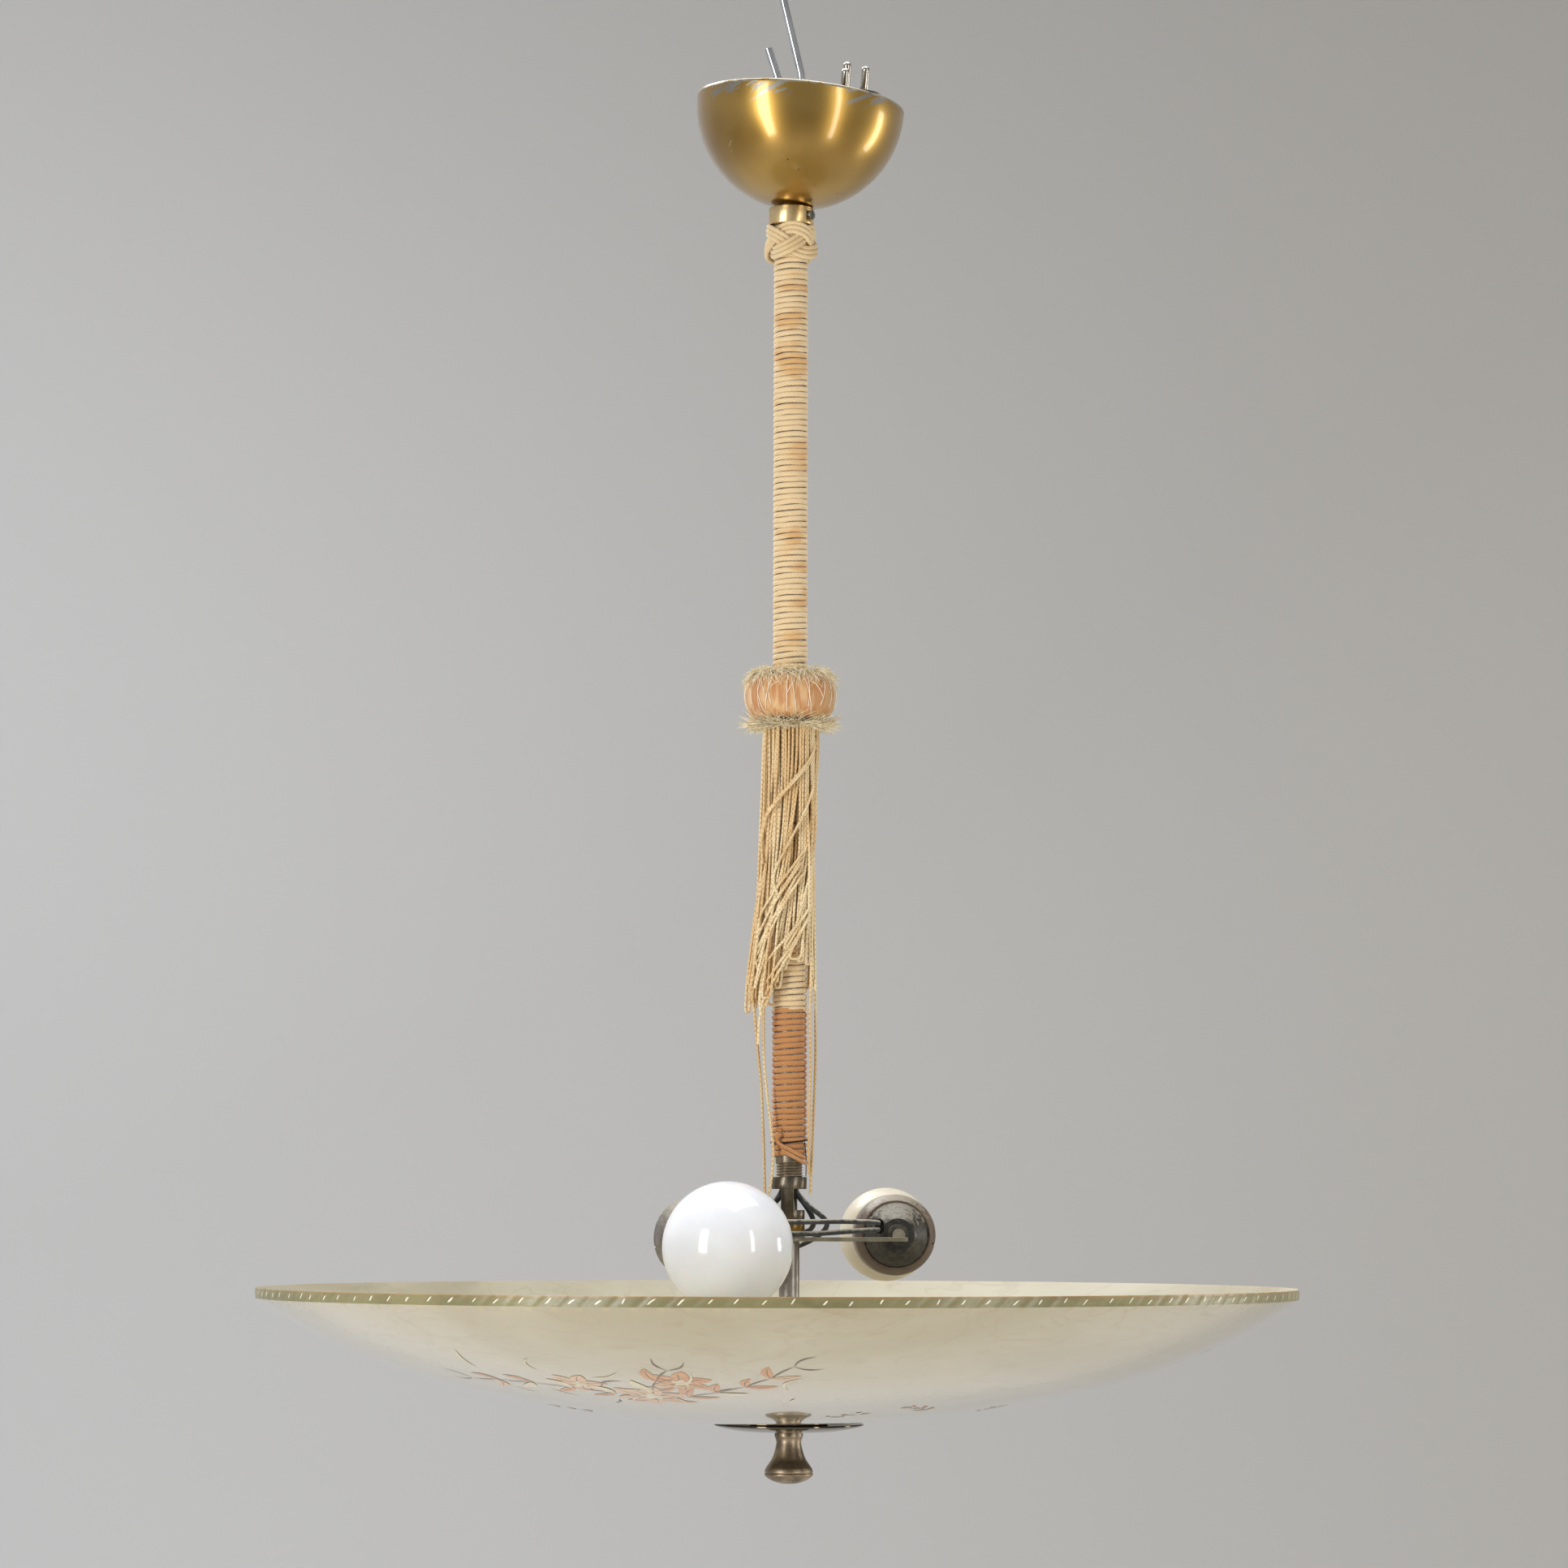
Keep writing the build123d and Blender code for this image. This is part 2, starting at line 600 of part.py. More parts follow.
def biarc(start, start_way, end, end_way):
    """Two tangent arcs from one point and direction to another."""
    chord = end - start
    ways = start_way + end_way
    spread = 2 * (1 - start_way.dot(end_way))
    along = chord.dot(ways)
    reach = (math.sqrt(along**2 + spread * chord.dot(chord)) - along) / spread
    near = start + start_way * reach
    far = end - end_way * reach
    middle = (near + far) * 0.5
    first = TangentArc(start, middle, tangent=start_way)
    return [first, TangentArc(middle, end, tangent=first % 1)]


def wound_cord(name, foot, turns, pitch):
    """One unbroken round cord on the pipe, drawn as a biarc for each half turn."""
    line = PIPE_RADIUS + CORD_CLEARANCE + CORD_THICKNESS / 2
    rise = pitch / (2 * math.pi)

    def place(turn):
        angle = 2 * math.pi * turn
        height = foot + CORD_THICKNESS / 2 + pitch * turn
        return Vector(line * math.cos(angle), line * math.sin(angle), height)

    def way(turn):
        angle = 2 * math.pi * turn
        return Vector(-line * math.sin(angle), line * math.cos(angle), rise).normalized()

    edges = []
    for half in range(2 * turns):
        edges += biarc(place(half / 2), way(half / 2), place((half + 1) / 2), way((half + 1) / 2))
    path = Wire(edges)
    tube = sweep(Plane(origin=place(0), z_dir=way(0)) * Circle(CORD_THICKNESS / 2), path=path)
    samples = [path @ (step / (SAMPLES_PER_TURN * turns)) for step in range(SAMPLES_PER_TURN * turns + 1)]
    gap = min(
        (other - sample).length - CORD_THICKNESS
        for index, sample in enumerate(samples)
        for other in samples[index + SAMPLES_PER_TURN // 2 : index + 2 * SAMPLES_PER_TURN]
    )
    print(f"{name}: {turns} turns, length {path.length:.0f}, least gap to itself {gap:.2f} mm")
    return tube


def winding_sleeve(foot, top):
    """Close turns, drawn as a plain sleeve of the winding's size."""
    return ring(winding_radius, PIPE_RADIUS + HUB_CLEARANCE, foot, top - foot)


def rope_knot():
    """Barrel of the knot, round at both shoulders."""
    inner = PIPE_RADIUS + HUB_CLEARANCE
    shoulder = KNOT_SHOULDER_RADIUS
    belly = ThreePointArc(
        (shoulder, knot_foot),
        (KNOT_RADIUS, (knot_foot + knot_top) / 2),
        (shoulder, knot_top),
    )
    return turned(
        Line((inner, knot_foot), (shoulder, knot_foot)),
        belly,
        Line((shoulder, knot_top), (inner, knot_top)),
        Line((inner, knot_top), (inner, knot_foot)),
    )


def ruff_ring():
    """Silk-wrapped ring round the winding."""
    inner = winding_radius + HUB_CLEARANCE
    middle = (inner + RUFF_RADIUS) / 2
    section = Pos(middle, ruff_foot + RUFF_HEIGHT / 2) * Ellipse(RUFF_RADIUS - middle, RUFF_HEIGHT / 2)
    return revolve(Plane.XZ * section, Axis.Z)


def fringe(outer, foot, height):
    """Flat, round-edged ring of short straw."""
    inner = winding_radius + HUB_CLEARANCE
    edge = ThreePointArc(
        (outer - height / 2, foot),
        (outer, foot + height / 2),
        (outer - height / 2, foot + height),
    )
    return turned(
        Line((inner, foot), edge @ 0),
        edge,
        Line(edge @ 1, (inner, foot + height)),
        Line((inner, foot + height), (inner, foot)),
    )


def lock_outline(radius, drift, height):
    """Ring of round locks, as a face at the given height."""
    step = 360 / SKIRT_LOCKS
    edges = []
    for lock in range(SKIRT_LOCKS):
        bearings = (lock * step, (lock + 0.5) * step, (lock + 1) * step)
        reaches = (radius - SKIRT_LOCK_RELIEF, radius, radius - SKIRT_LOCK_RELIEF)
        points = [
            (drift + reach * math.cos(math.radians(bearing)), reach * math.sin(math.radians(bearing)))
            for bearing, reach in zip(bearings, reaches)
        ]
        edges.append(ThreePointArc(*points))
    return Pos(0, 0, height) * make_face(Curve() + edges)


def tassel_skirt():
    """Skirt of cord locks that opens and drifts to the left at its foot."""
    middle = skirt_foot + SKIRT_LENGTH / 2
    body = loft(
        [
            lock_outline(SKIRT_TOP_RADIUS, 0, skirt_top),
            lock_outline(SKIRT_MIDDLE_RADIUS, SKIRT_FOOT_DRIFT / 3, middle),
            lock_outline(SKIRT_FOOT_RADIUS, SKIRT_FOOT_DRIFT, skirt_foot),
        ],
        ruled=True,
    )
    return body - peg(winding_radius + SOFT_GAP, skirt_foot - 1, SKIRT_LENGTH + 2)


# Ceiling cup, collar and set screw


def ceiling_cup():
    """Half-round cup with a short straight rim, open upward, tilted a little on its collar."""
    rim = cup_pole + CUP_DEPTH
    inner_radius = CUP_RADIUS - CUP_WALL
    walls = []
    for radius in (CUP_RADIUS, inner_radius):
        hole = math.degrees(math.asin(CUP_HOLE_RADIUS / radius))
        walls.append(CenterArc((0, cup_pole + CUP_RADIUS), radius, hole - 90, 90 - hole))
    outer, inner = walls
    blank = turned(
        outer,
        Line(outer @ 1, (CUP_RADIUS, rim)),
        Line((CUP_RADIUS, rim), (inner_radius, rim)),
        Line((inner_radius, rim), inner @ 1),
        inner,
        Line(inner @ 0, outer @ 0),
    )
    return Pos(0, 0, cup_pole) * Rot(0, CUP_TILT, 0) * Pos(0, 0, -cup_pole) * blank


collar_bore = PIPE_RADIUS + COLLAR_CLEARANCE
set_screw_middle = Pos(0, 0, collar_foot + COLLAR_HEIGHT / 2)
set_screw_place = set_screw_middle * Rot(0, 0, SET_SCREW_AZIMUTH) * Rot(0, 90, 0)


def ceiling_collar():
    """Round collar with the tapped hole of the set screw."""
    blank = ring(COLLAR_RADIUS, collar_bore, collar_foot, COLLAR_HEIGHT)
    tapped = Pos(0, 0, COLLAR_RADIUS) * Cylinder(SET_SCREW_RADIUS + RUNNING_CLEARANCE, COLLAR_RADIUS)
    return blank - set_screw_place * tapped


def collar_set_screw():
    """Slotted cheese head on a short shank that reaches almost to the pipe."""
    tip = PIPE_RADIUS + SET_SCREW_TIP_GAP
    head_foot = COLLAR_RADIUS + SET_SCREW_TIP_GAP
    shank = peg(SET_SCREW_RADIUS, tip, head_foot - tip)
    head = peg(SET_SCREW_HEAD_RADIUS, head_foot, SET_SCREW_HEAD_LENGTH)
    groove = Box(3 * SET_SCREW_HEAD_RADIUS, 0.6, SET_SCREW_HEAD_LENGTH)
    head -= Pos(0, 0, head_foot + SET_SCREW_HEAD_LENGTH) * groove
    return set_screw_place * (shank + head)


# Suspension loop and S-hook


def suspension_loop():
    """Collar on the pipe's top with a wire way through its roof, and a bail over it."""
    wall_height = LOOP_COLLAR_HEIGHT - LOOP_ROOF
    collar = ring(LOOP_COLLAR_RADIUS, PIPE_RADIUS + HUB_CLEARANCE, loop_foot, wall_height)
    collar += ring(LOOP_COLLAR_RADIUS, LOOP_WIRE_WAY_RADIUS, loop_roof - LOOP_ROOF, LOOP_ROOF)
    foot = loop_roof - LOOP_ROOF / 2
    path = Plane.YZ * Wire(
        [
            Line((-LOOP_BEND_RADIUS, foot), (-LOOP_BEND_RADIUS, loop_bend)),
            ThreePointArc((-LOOP_BEND_RADIUS, loop_bend), (0, loop_crown), (LOOP_BEND_RADIUS, loop_bend)),
            Line((LOOP_BEND_RADIUS, loop_bend), (LOOP_BEND_RADIUS, foot)),
        ]
    )
    bail = sweep(Plane(origin=path @ 0, z_dir=path % 0) * Circle(LOOP_WIRE_RADIUS), path=path)
    return collar + bail


def hanging_hook():
    """S-hook: both bends stand over each other, and the shank crosses between them."""
    bend = HOOK_BEND_RADIUS
    lean = math.radians(HOOK_TIP_LEAN)
    mouth = (bend * math.cos(lean), bend * math.sin(lean))
    tip = (mouth[0] + HOOK_TIP_LENGTH * math.sin(lean), mouth[1] - HOOK_TIP_LENGTH * math.cos(lean))
    crossing = 2 * bend / math.tan(math.radians(HOOK_SHANK_LEAN))
    shank = FilletPolyline(
        (bend, 0),
        (bend, HOOK_STRAIGHT),
        (-bend, HOOK_STRAIGHT + crossing),
        (-bend, hook_span),
        radius=HOOK_CORNER_RADIUS,
    )
    path = Plane.XZ * Wire(
        [
            Line((-tip[0], -tip[1]), (-mouth[0], -mouth[1])),
            ThreePointArc((-mouth[0], -mouth[1]), (0, -bend), (bend, 0)),
            *shank.edges(),
            ThreePointArc((-bend, hook_span), (0, hook_span + bend), (mouth[0], hook_span + mouth[1])),
            Line((mouth[0], hook_span + mouth[1]), (tip[0], hook_span + tip[1])),
        ]
    )
    section = Plane(origin=path @ 0, z_dir=path % 0) * Circle(HOOK_WIRE_RADIUS)
    return Pos(0, 0, hook_lower_bend) * sweep(section, path=path)


# Plug that stands in the cup


plug_face = cup_pole + CUP_DEPTH + PLUG_FACE_ABOVE_RIM
plug_place = Pos(*PLUG_AT, plug_face) * Rot(PLUG_LEAN_FRONT, PLUG_LEAN_RIGHT, 0)


def plug_body():
    """Round front half of the plug with a raised rim round its face."""
    return turned_points(
        (0, -PLUG_LENGTH),
        (PLUG_RADIUS - PLUG_TAPER, -PLUG_LENGTH),
        (PLUG_RADIUS, -PLUG_LENGTH * 0.8),
        (PLUG_RADIUS, PLUG_RIM_HEIGHT),
        (PLUG_RADIUS - PLUG_RIM, PLUG_RIM_HEIGHT),
        (PLUG_RADIUS - PLUG_RIM, 0),
        (0, 0),
    )


def plug_cover():
    """Rear half that narrows to the lead's entry."""
    foot = -PLUG_LENGTH - PLUG_COVER_LENGTH
    side = ThreePointArc(
        (PLUG_RADIUS - PLUG_TAPER, -PLUG_LENGTH),
        (PLUG_RADIUS * 0.72, -PLUG_LENGTH - PLUG_COVER_LENGTH * 0.6),
        (PLUG_TAIL_RADIUS, foot),
    )
    cover = turned(
        Line((0, -PLUG_LENGTH), (PLUG_RADIUS - PLUG_TAPER, -PLUG_LENGTH)),
        side,
        Line((PLUG_TAIL_RADIUS, foot), (0, foot)),
        Line((0, foot), (0, -PLUG_LENGTH)),
    )
    return cover - peg(SUPPLY_DIAMETER / 2 + SOFT_GAP, foot - 1, PLUG_COVER_LENGTH / 2)


def pin_places():
    """Bearings of the two line pins, and of the earth pin beside their middle."""
    return [(-PIN_SPACING / 2, 0), (PIN_SPACING / 2, 0), (0, EARTH_PIN_OFFSET)]


def plug_pin(place, length):
    """Pin with a round tip, its root inside the body."""
    tip = CenterArc((0, length - PIN_RADIUS), PIN_RADIUS, 0, 90)
    pin = turned(
        Line((0, 0), (PIN_RADIUS, 0)),
        Line((PIN_RADIUS, 0), (PIN_RADIUS, length - PIN_RADIUS)),
        tip,
        Line((0, length), (0, 0)),
    )
    return plug_place * Rot(0, 0, PIN_TURN) * Pos(*place, 0) * pin


# Cables and long strands, by the points of their routes

# Heights are measured from the top of the pipe.
LEAD_ROUTE = [
    (0, 0, -2.0),
    (0, 0, 7.0),
    (-4.0, 0, 14.0),
    (-11.0, 0.4, 18.0),
    (-19.6, 2.0, 17.6),
    (-27.0, 6.0, 12.4),
    (-31.0, 12.6, 5.0),
    (-29.6, 20.0, -2.6),
    (-22.6, 25.6, -8.6),
    (-12.6, 29.0, -12.8),
    (-1.6, 30.8, -15.4),
    (9.6, 31.1, -16.7),
    (18.6, 29.2, -15.6),
    (24.5, 26.6, -12.4),
    (27.8, 23.3, -7.2),
    (28.5, 20.2, 1.2),
]

# Each feed wire is drawn with its arm along +X and turned with the arm.
FEED_ROUTES = {
    "right_upper": [
        (-1.1, 2.0, 149.5),
        (-1.1, 2.0, 139.5),
        (-8.3, 4.7, 131.2),
        (-16.5, 5.2, 127.0),
        (-22.5, -0.5, 125.2),
        (-22.0, -9.5, 124.4),
        (-15.5, -16.5, 124.0),
        (-6.0, -19.0, 124.0),
        (4.0, -17.5, 124.0),
        (13.5, -13.0, 124.1),
        (22.5, -8.0, 124.3),
        (31.5, -3.0, 124.2),
        (39.5, 3.5, 123.9),
        (43.9, 11.5, 123.5),
        (44.3, 17.5, 123.4),
    ],
    "right_lower": [
        (-2.0, -1.1, 149.5),
        (-2.0, -1.1, 139.5),
        (-9.2, 0.6, 131.0),
        (-13.8, -3.0, 123.2),
        (-12.9, -10.7, 119.3),
        (-6.6, -15.8, 118.5),
        (2.6, -16.2, 118.3),
        (11.6, -13.0, 118.4),
        (20.8, -8.6, 119.0),
        (29.8, -4.2, 119.6),
        (38.2, 1.6, 120.1),
        (43.4, 9.4, 120.2),
        (44.3, 17.5, 120.2),
    ],
    "left_upper": [
        (-2.0, -1.1, 149.5),
        (-2.0, -1.1, 139.5),
        (-9.1, 0.6, 130.8),
        (-13.5, -2.9, 123.7),
        (-13.3, -10.8, 119.7),
        (-7.6, -16.6, 119.0),
        (2.6, -16.2, 119.8),
        (11.6, -13.0, 120.8),
        (20.8, -8.6, 121.8),
        (29.8, -4.2, 122.8),
        (38.2, 1.6, 123.2),
        (43.4, 9.4, 123.2),
        (44.3, 17.5, 123.2),
    ],
    "left_lower": [
        (-1.1, 2.0, 149.5),
        (-1.1, 2.0, 139.5),
        (-8.4, 4.4, 131.4),
        (-15.8, 3.4, 126.6),
        (-20.4, -3.2, 122.6),
        (-18.8, -11.0, 118.0),
        (-12.6, -16.6, 113.6),
        (-4.0, -18.6, 110.6),
        (5.0, -18.0, 110.0),
        (13.4, -15.4, 112.2),
        (21.2, -11.6, 115.6),
        (29.0, -7.2, 118.4),
        (36.4, -1.4, 119.6),
        (42.2, 6.2, 120.0),
        (44.3, 17.5, 120.0),
    ],
}

STRAND_ROUTES = {
    "strand_left_outer": [
        (-16.8, -3.5, 224.6),
        (-15.4, -4.4, 207.0),
        (-13.4, -5.2, 190.0),
        (-12.6, -4.8, 171.0),
        (-12.0, -5.2, 152.0),
        (-11.4, -4.6, 134.0),
    ],
    "strand_left_inner": [
        (-12.4, -6.6, 224.6),
        (-12.6, -7.6, 206.0),
        (-11.2, -8.6, 188.0),
        (-8.6, -9.6, 169.0),
        (-7.0, -10.2, 152.0),
        (-9.6, -9.4, 137.0),
    ],
    "strand_right_outer": [
        (12.4, -2.0, 224.6),
        (12.6, -3.0, 204.0),
        (11.8, -2.6, 182.0),
        (11.0, -3.2, 160.0),
        (10.0, -2.8, 137.0),
    ],
    "strand_right_inner": [
        (9.6, -5.4, 224.6),
        (10.2, -6.2, 203.0),
        (9.6, -5.8, 182.0),
        (9.4, -6.2, 163.0),
        (9.2, -5.6, 146.5),
    ],
}


def main():
    """Write every piece under its own name."""
    save("finial_knob", finial_knob())
    save("bottom_disc", bottom_disc())
    hole = ROD_RADIUS + COLLAR_CLEARANCE
    save("bowl_washer_lower", ring(soft_washer_radius, hole, disc_top, LOWER_WASHER_HEIGHT))
    save("glass_bowl", glass_bowl())
    save("bowl_washer_upper", ring(soft_washer_radius, hole, upper_washer_foot, UPPER_WASHER_HEIGHT))
    save("bowl_seat_cup", bowl_seat_cup())
    rod_hole = ROD_RADIUS + HUB_CLEARANCE
    save("bowl_lock_nut", hex_nut(NUT_FLATS, rod_hole, bowl_nut_foot, BOWL_NUT_HEIGHT))

    save("lower_rod", ring(ROD_RADIUS, ROD_BORE_RADIUS, rod_foot, ROD_LENGTH))
    save("window_yoke", window_yoke())
    save("hub_brass_ring", ring(YOKE_RING_RADIUS, rod_hole, jam_nut_top, BRASS_RING_HEIGHT))
    save("hub_jam_nut", hex_nut(NUT_FLATS, rod_hole, arm_top, JAM_NUT_HEIGHT))
    save("arm_bar", arm_bar())

    sides = {
        "right": (RIGHT_ARM_AZIMUTH, 0, GOLF_RADIUS, GOLF_BULB_LENGTH),
        "left": (LEFT_ARM_AZIMUTH, LEFT_DROOP, GLOBE_RADIUS, GLOBE_BULB_LENGTH),
    }
    for side, (azimuth, droop, bulb_radius, bulb_length) in sides.items():
        place = holder_place(azimuth, droop)
        save(f"holder_stud_{side}", place * peg(STUD_RADIUS, -EAR_THICKNESS, EAR_THICKNESS + STUD_IN_CAP))
        save(f"holder_cap_{side}", place * holder_cap())
        save(f"holder_shell_{side}", place * holder_shell())
        save(f"holder_insert_{side}", place * holder_insert())
        save(f"holder_contact_{side}", place * holder_contact())
        save(f"bulb_base_{side}", place * bulb_base())
        save(f"bulb_glass_{side}", place * bulb_glass(bulb_radius, bulb_length))
        for level in ("upper", "lower"):
            name = f"feed_wire_{side}_{level}"
            tube = cord_tube(name, FEED_ROUTES[f"{side}_{level}"], FEED_DIAMETER)
            save(name, Rot(0, 0, azimuth) * tube)

    save("stem_tube", ring(PIPE_RADIUS, PIPE_BORE_RADIUS, pipe_foot, PIPE_LENGTH))
    save("winding_upper", winding_sleeve(upper_winding_foot, upper_winding_top))
    save("winding_inner", winding_sleeve(open_winding_top + SOFT_GAP, lower_winding_top))
    save("winding_lower", wound_cord("winding_lower", lower_winding_foot, OPEN_TURNS, OPEN_PITCH))
    save("rope_knot", rope_knot())
    save("ruff_ring", ruff_ring())
    save("fringe_upper", fringe(FRINGE_TOP_RADIUS, ruff_top + SOFT_GAP, FRINGE_TOP_HEIGHT))
    save("fringe_lower", fringe(FRINGE_FOOT_RADIUS, fringe_foot, FRINGE_FOOT_HEIGHT))
    save("tassel_skirt", tassel_skirt())
    for name, route in STRAND_ROUTES.items():
        save(name, cord_tube(name, route, STRAND_DIAMETER, sides=6))

    supply_foot = FEED_ROUTES["right_upper"][0][2] + FEED_TOP_GAP
    lead_route = [(x, y, pipe_top + height) for x, y, height in LEAD_ROUTE]
    supply_length = lead_route[0][2] - supply_foot
    save("supply_cable", peg(SUPPLY_DIAMETER / 2, supply_foot, supply_length))
    save("plug_lead", cord_tube("plug_lead", lead_route, SUPPLY_DIAMETER))

    save("ceiling_cup", ceiling_cup())
    save("ceiling_collar", ceiling_collar())
    save("collar_set_screw", collar_set_screw())
    save("suspension_loop", suspension_loop())
    save("hanging_hook", hanging_hook())

    line_pins = Compound(children=[plug_pin(place, PIN_LENGTH) for place in pin_places()[:2]])
    save("plug_body", plug_place * plug_body())
    save("plug_cover", plug_place * plug_cover())
    save("plug_line_pins", line_pins)
    save("plug_earth_pin", plug_pin(pin_places()[2], PIN_LENGTH + EARTH_PIN_EXTRA))


main()
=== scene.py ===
"""Glass ceiling lamp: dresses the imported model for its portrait."""

import logging
import math
import random
from dataclasses import dataclass
from enum import Enum
from typing import Callable, Sequence

import bpy
from mathutils import Matrix, Vector, noise


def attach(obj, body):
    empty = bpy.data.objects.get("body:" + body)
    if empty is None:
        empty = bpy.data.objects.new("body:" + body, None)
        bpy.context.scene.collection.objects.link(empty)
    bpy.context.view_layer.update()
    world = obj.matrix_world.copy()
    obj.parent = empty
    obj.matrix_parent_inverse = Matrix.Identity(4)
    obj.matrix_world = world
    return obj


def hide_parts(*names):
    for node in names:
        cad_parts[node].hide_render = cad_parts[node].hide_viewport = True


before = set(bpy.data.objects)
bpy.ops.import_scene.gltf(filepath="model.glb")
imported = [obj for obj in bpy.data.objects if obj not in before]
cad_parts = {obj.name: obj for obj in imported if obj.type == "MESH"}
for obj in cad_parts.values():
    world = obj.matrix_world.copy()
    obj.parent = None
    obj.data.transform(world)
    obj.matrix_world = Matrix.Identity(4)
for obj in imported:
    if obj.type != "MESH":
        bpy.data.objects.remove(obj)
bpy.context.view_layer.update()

LOG = logging.getLogger("lamp")
MM = 0.001
HOOK_HEIGHT = 744.8
BOWL_SHIFT = -5.6
BOWL_NICKS = 127
WINDING_RADIUS = 8.5
FULL_TURN = 2 * math.pi

Point = tuple[float, float, float]
Profile = Sequence[tuple[float, float]]


def at(x: float, y: float, height: float) -> Vector:
    """A place in metres from millimetres, with its height above the finial's tip."""
    return Vector((x, y, height - HOOK_HEIGHT)) * MM


def polar(radius: float, angle: float, height: float) -> Vector:
    """A point in millimetres from its radius, bearing in radians and height."""
    return Vector((radius * math.cos(angle), radius * math.sin(angle), height))


def tone(code: str) -> tuple[float, float, float, float]:
    """Linear colour of a six-digit screen colour."""
    parts = [int(code[i : i + 2], 16) / 255 for i in (1, 3, 5)]
    linear = [c / 12.92 if c <= 0.04045 else ((c + 0.055) / 1.055) ** 2.4 for c in parts]
    return (linear[0], linear[1], linear[2], 1.0)


# Shader building


class Link:
    """A shader value that adds its Math nodes when it is used in an expression."""

    def __init__(self, recipe: "Recipe", socket: bpy.types.NodeSocket) -> None:
        """Keep the recipe that owns the nodes, and the socket."""
        self.recipe = recipe
        self.socket = socket

    def _math(self, operation: str, *values: "Link | float") -> "Link":
        """Add one Math node.

        Args:
            operation: The node's operation.
            values: What goes into its inputs, in order.
        Returns:
            The node's result.
        """
        return self.recipe.node("ShaderNodeMath", {"operation": operation}, dict(enumerate(values)))

    def __add__(self, other: "Link | float") -> "Link":
        """Sum."""
        return self._math("ADD", self, other)

    __radd__ = __add__

    def __mul__(self, other: "Link | float") -> "Link":
        """Product."""
        return self._math("MULTIPLY", self, other)

    __rmul__ = __mul__

    def __sub__(self, other: "Link | float") -> "Link":
        """Difference."""
        return self._math("SUBTRACT", self, other)

    def __rsub__(self, other: float) -> "Link":
        """Difference from a number."""
        return self._math("SUBTRACT", other, self)

    def sine(self) -> "Link":
        """Sine of an angle."""
        return self._math("SINE", self)

    def size(self) -> "Link":
        """Value without its sign."""
        return self._math("ABSOLUTE", self)

    def larger(self, other: "Link | float") -> "Link":
        """The larger of two values."""
        return self._math("MAXIMUM", self, other)

    def bearing(self, other: "Link") -> "Link":
        """Angle of the point (other, self)."""
        return self._math("ARCTAN2", self, other)


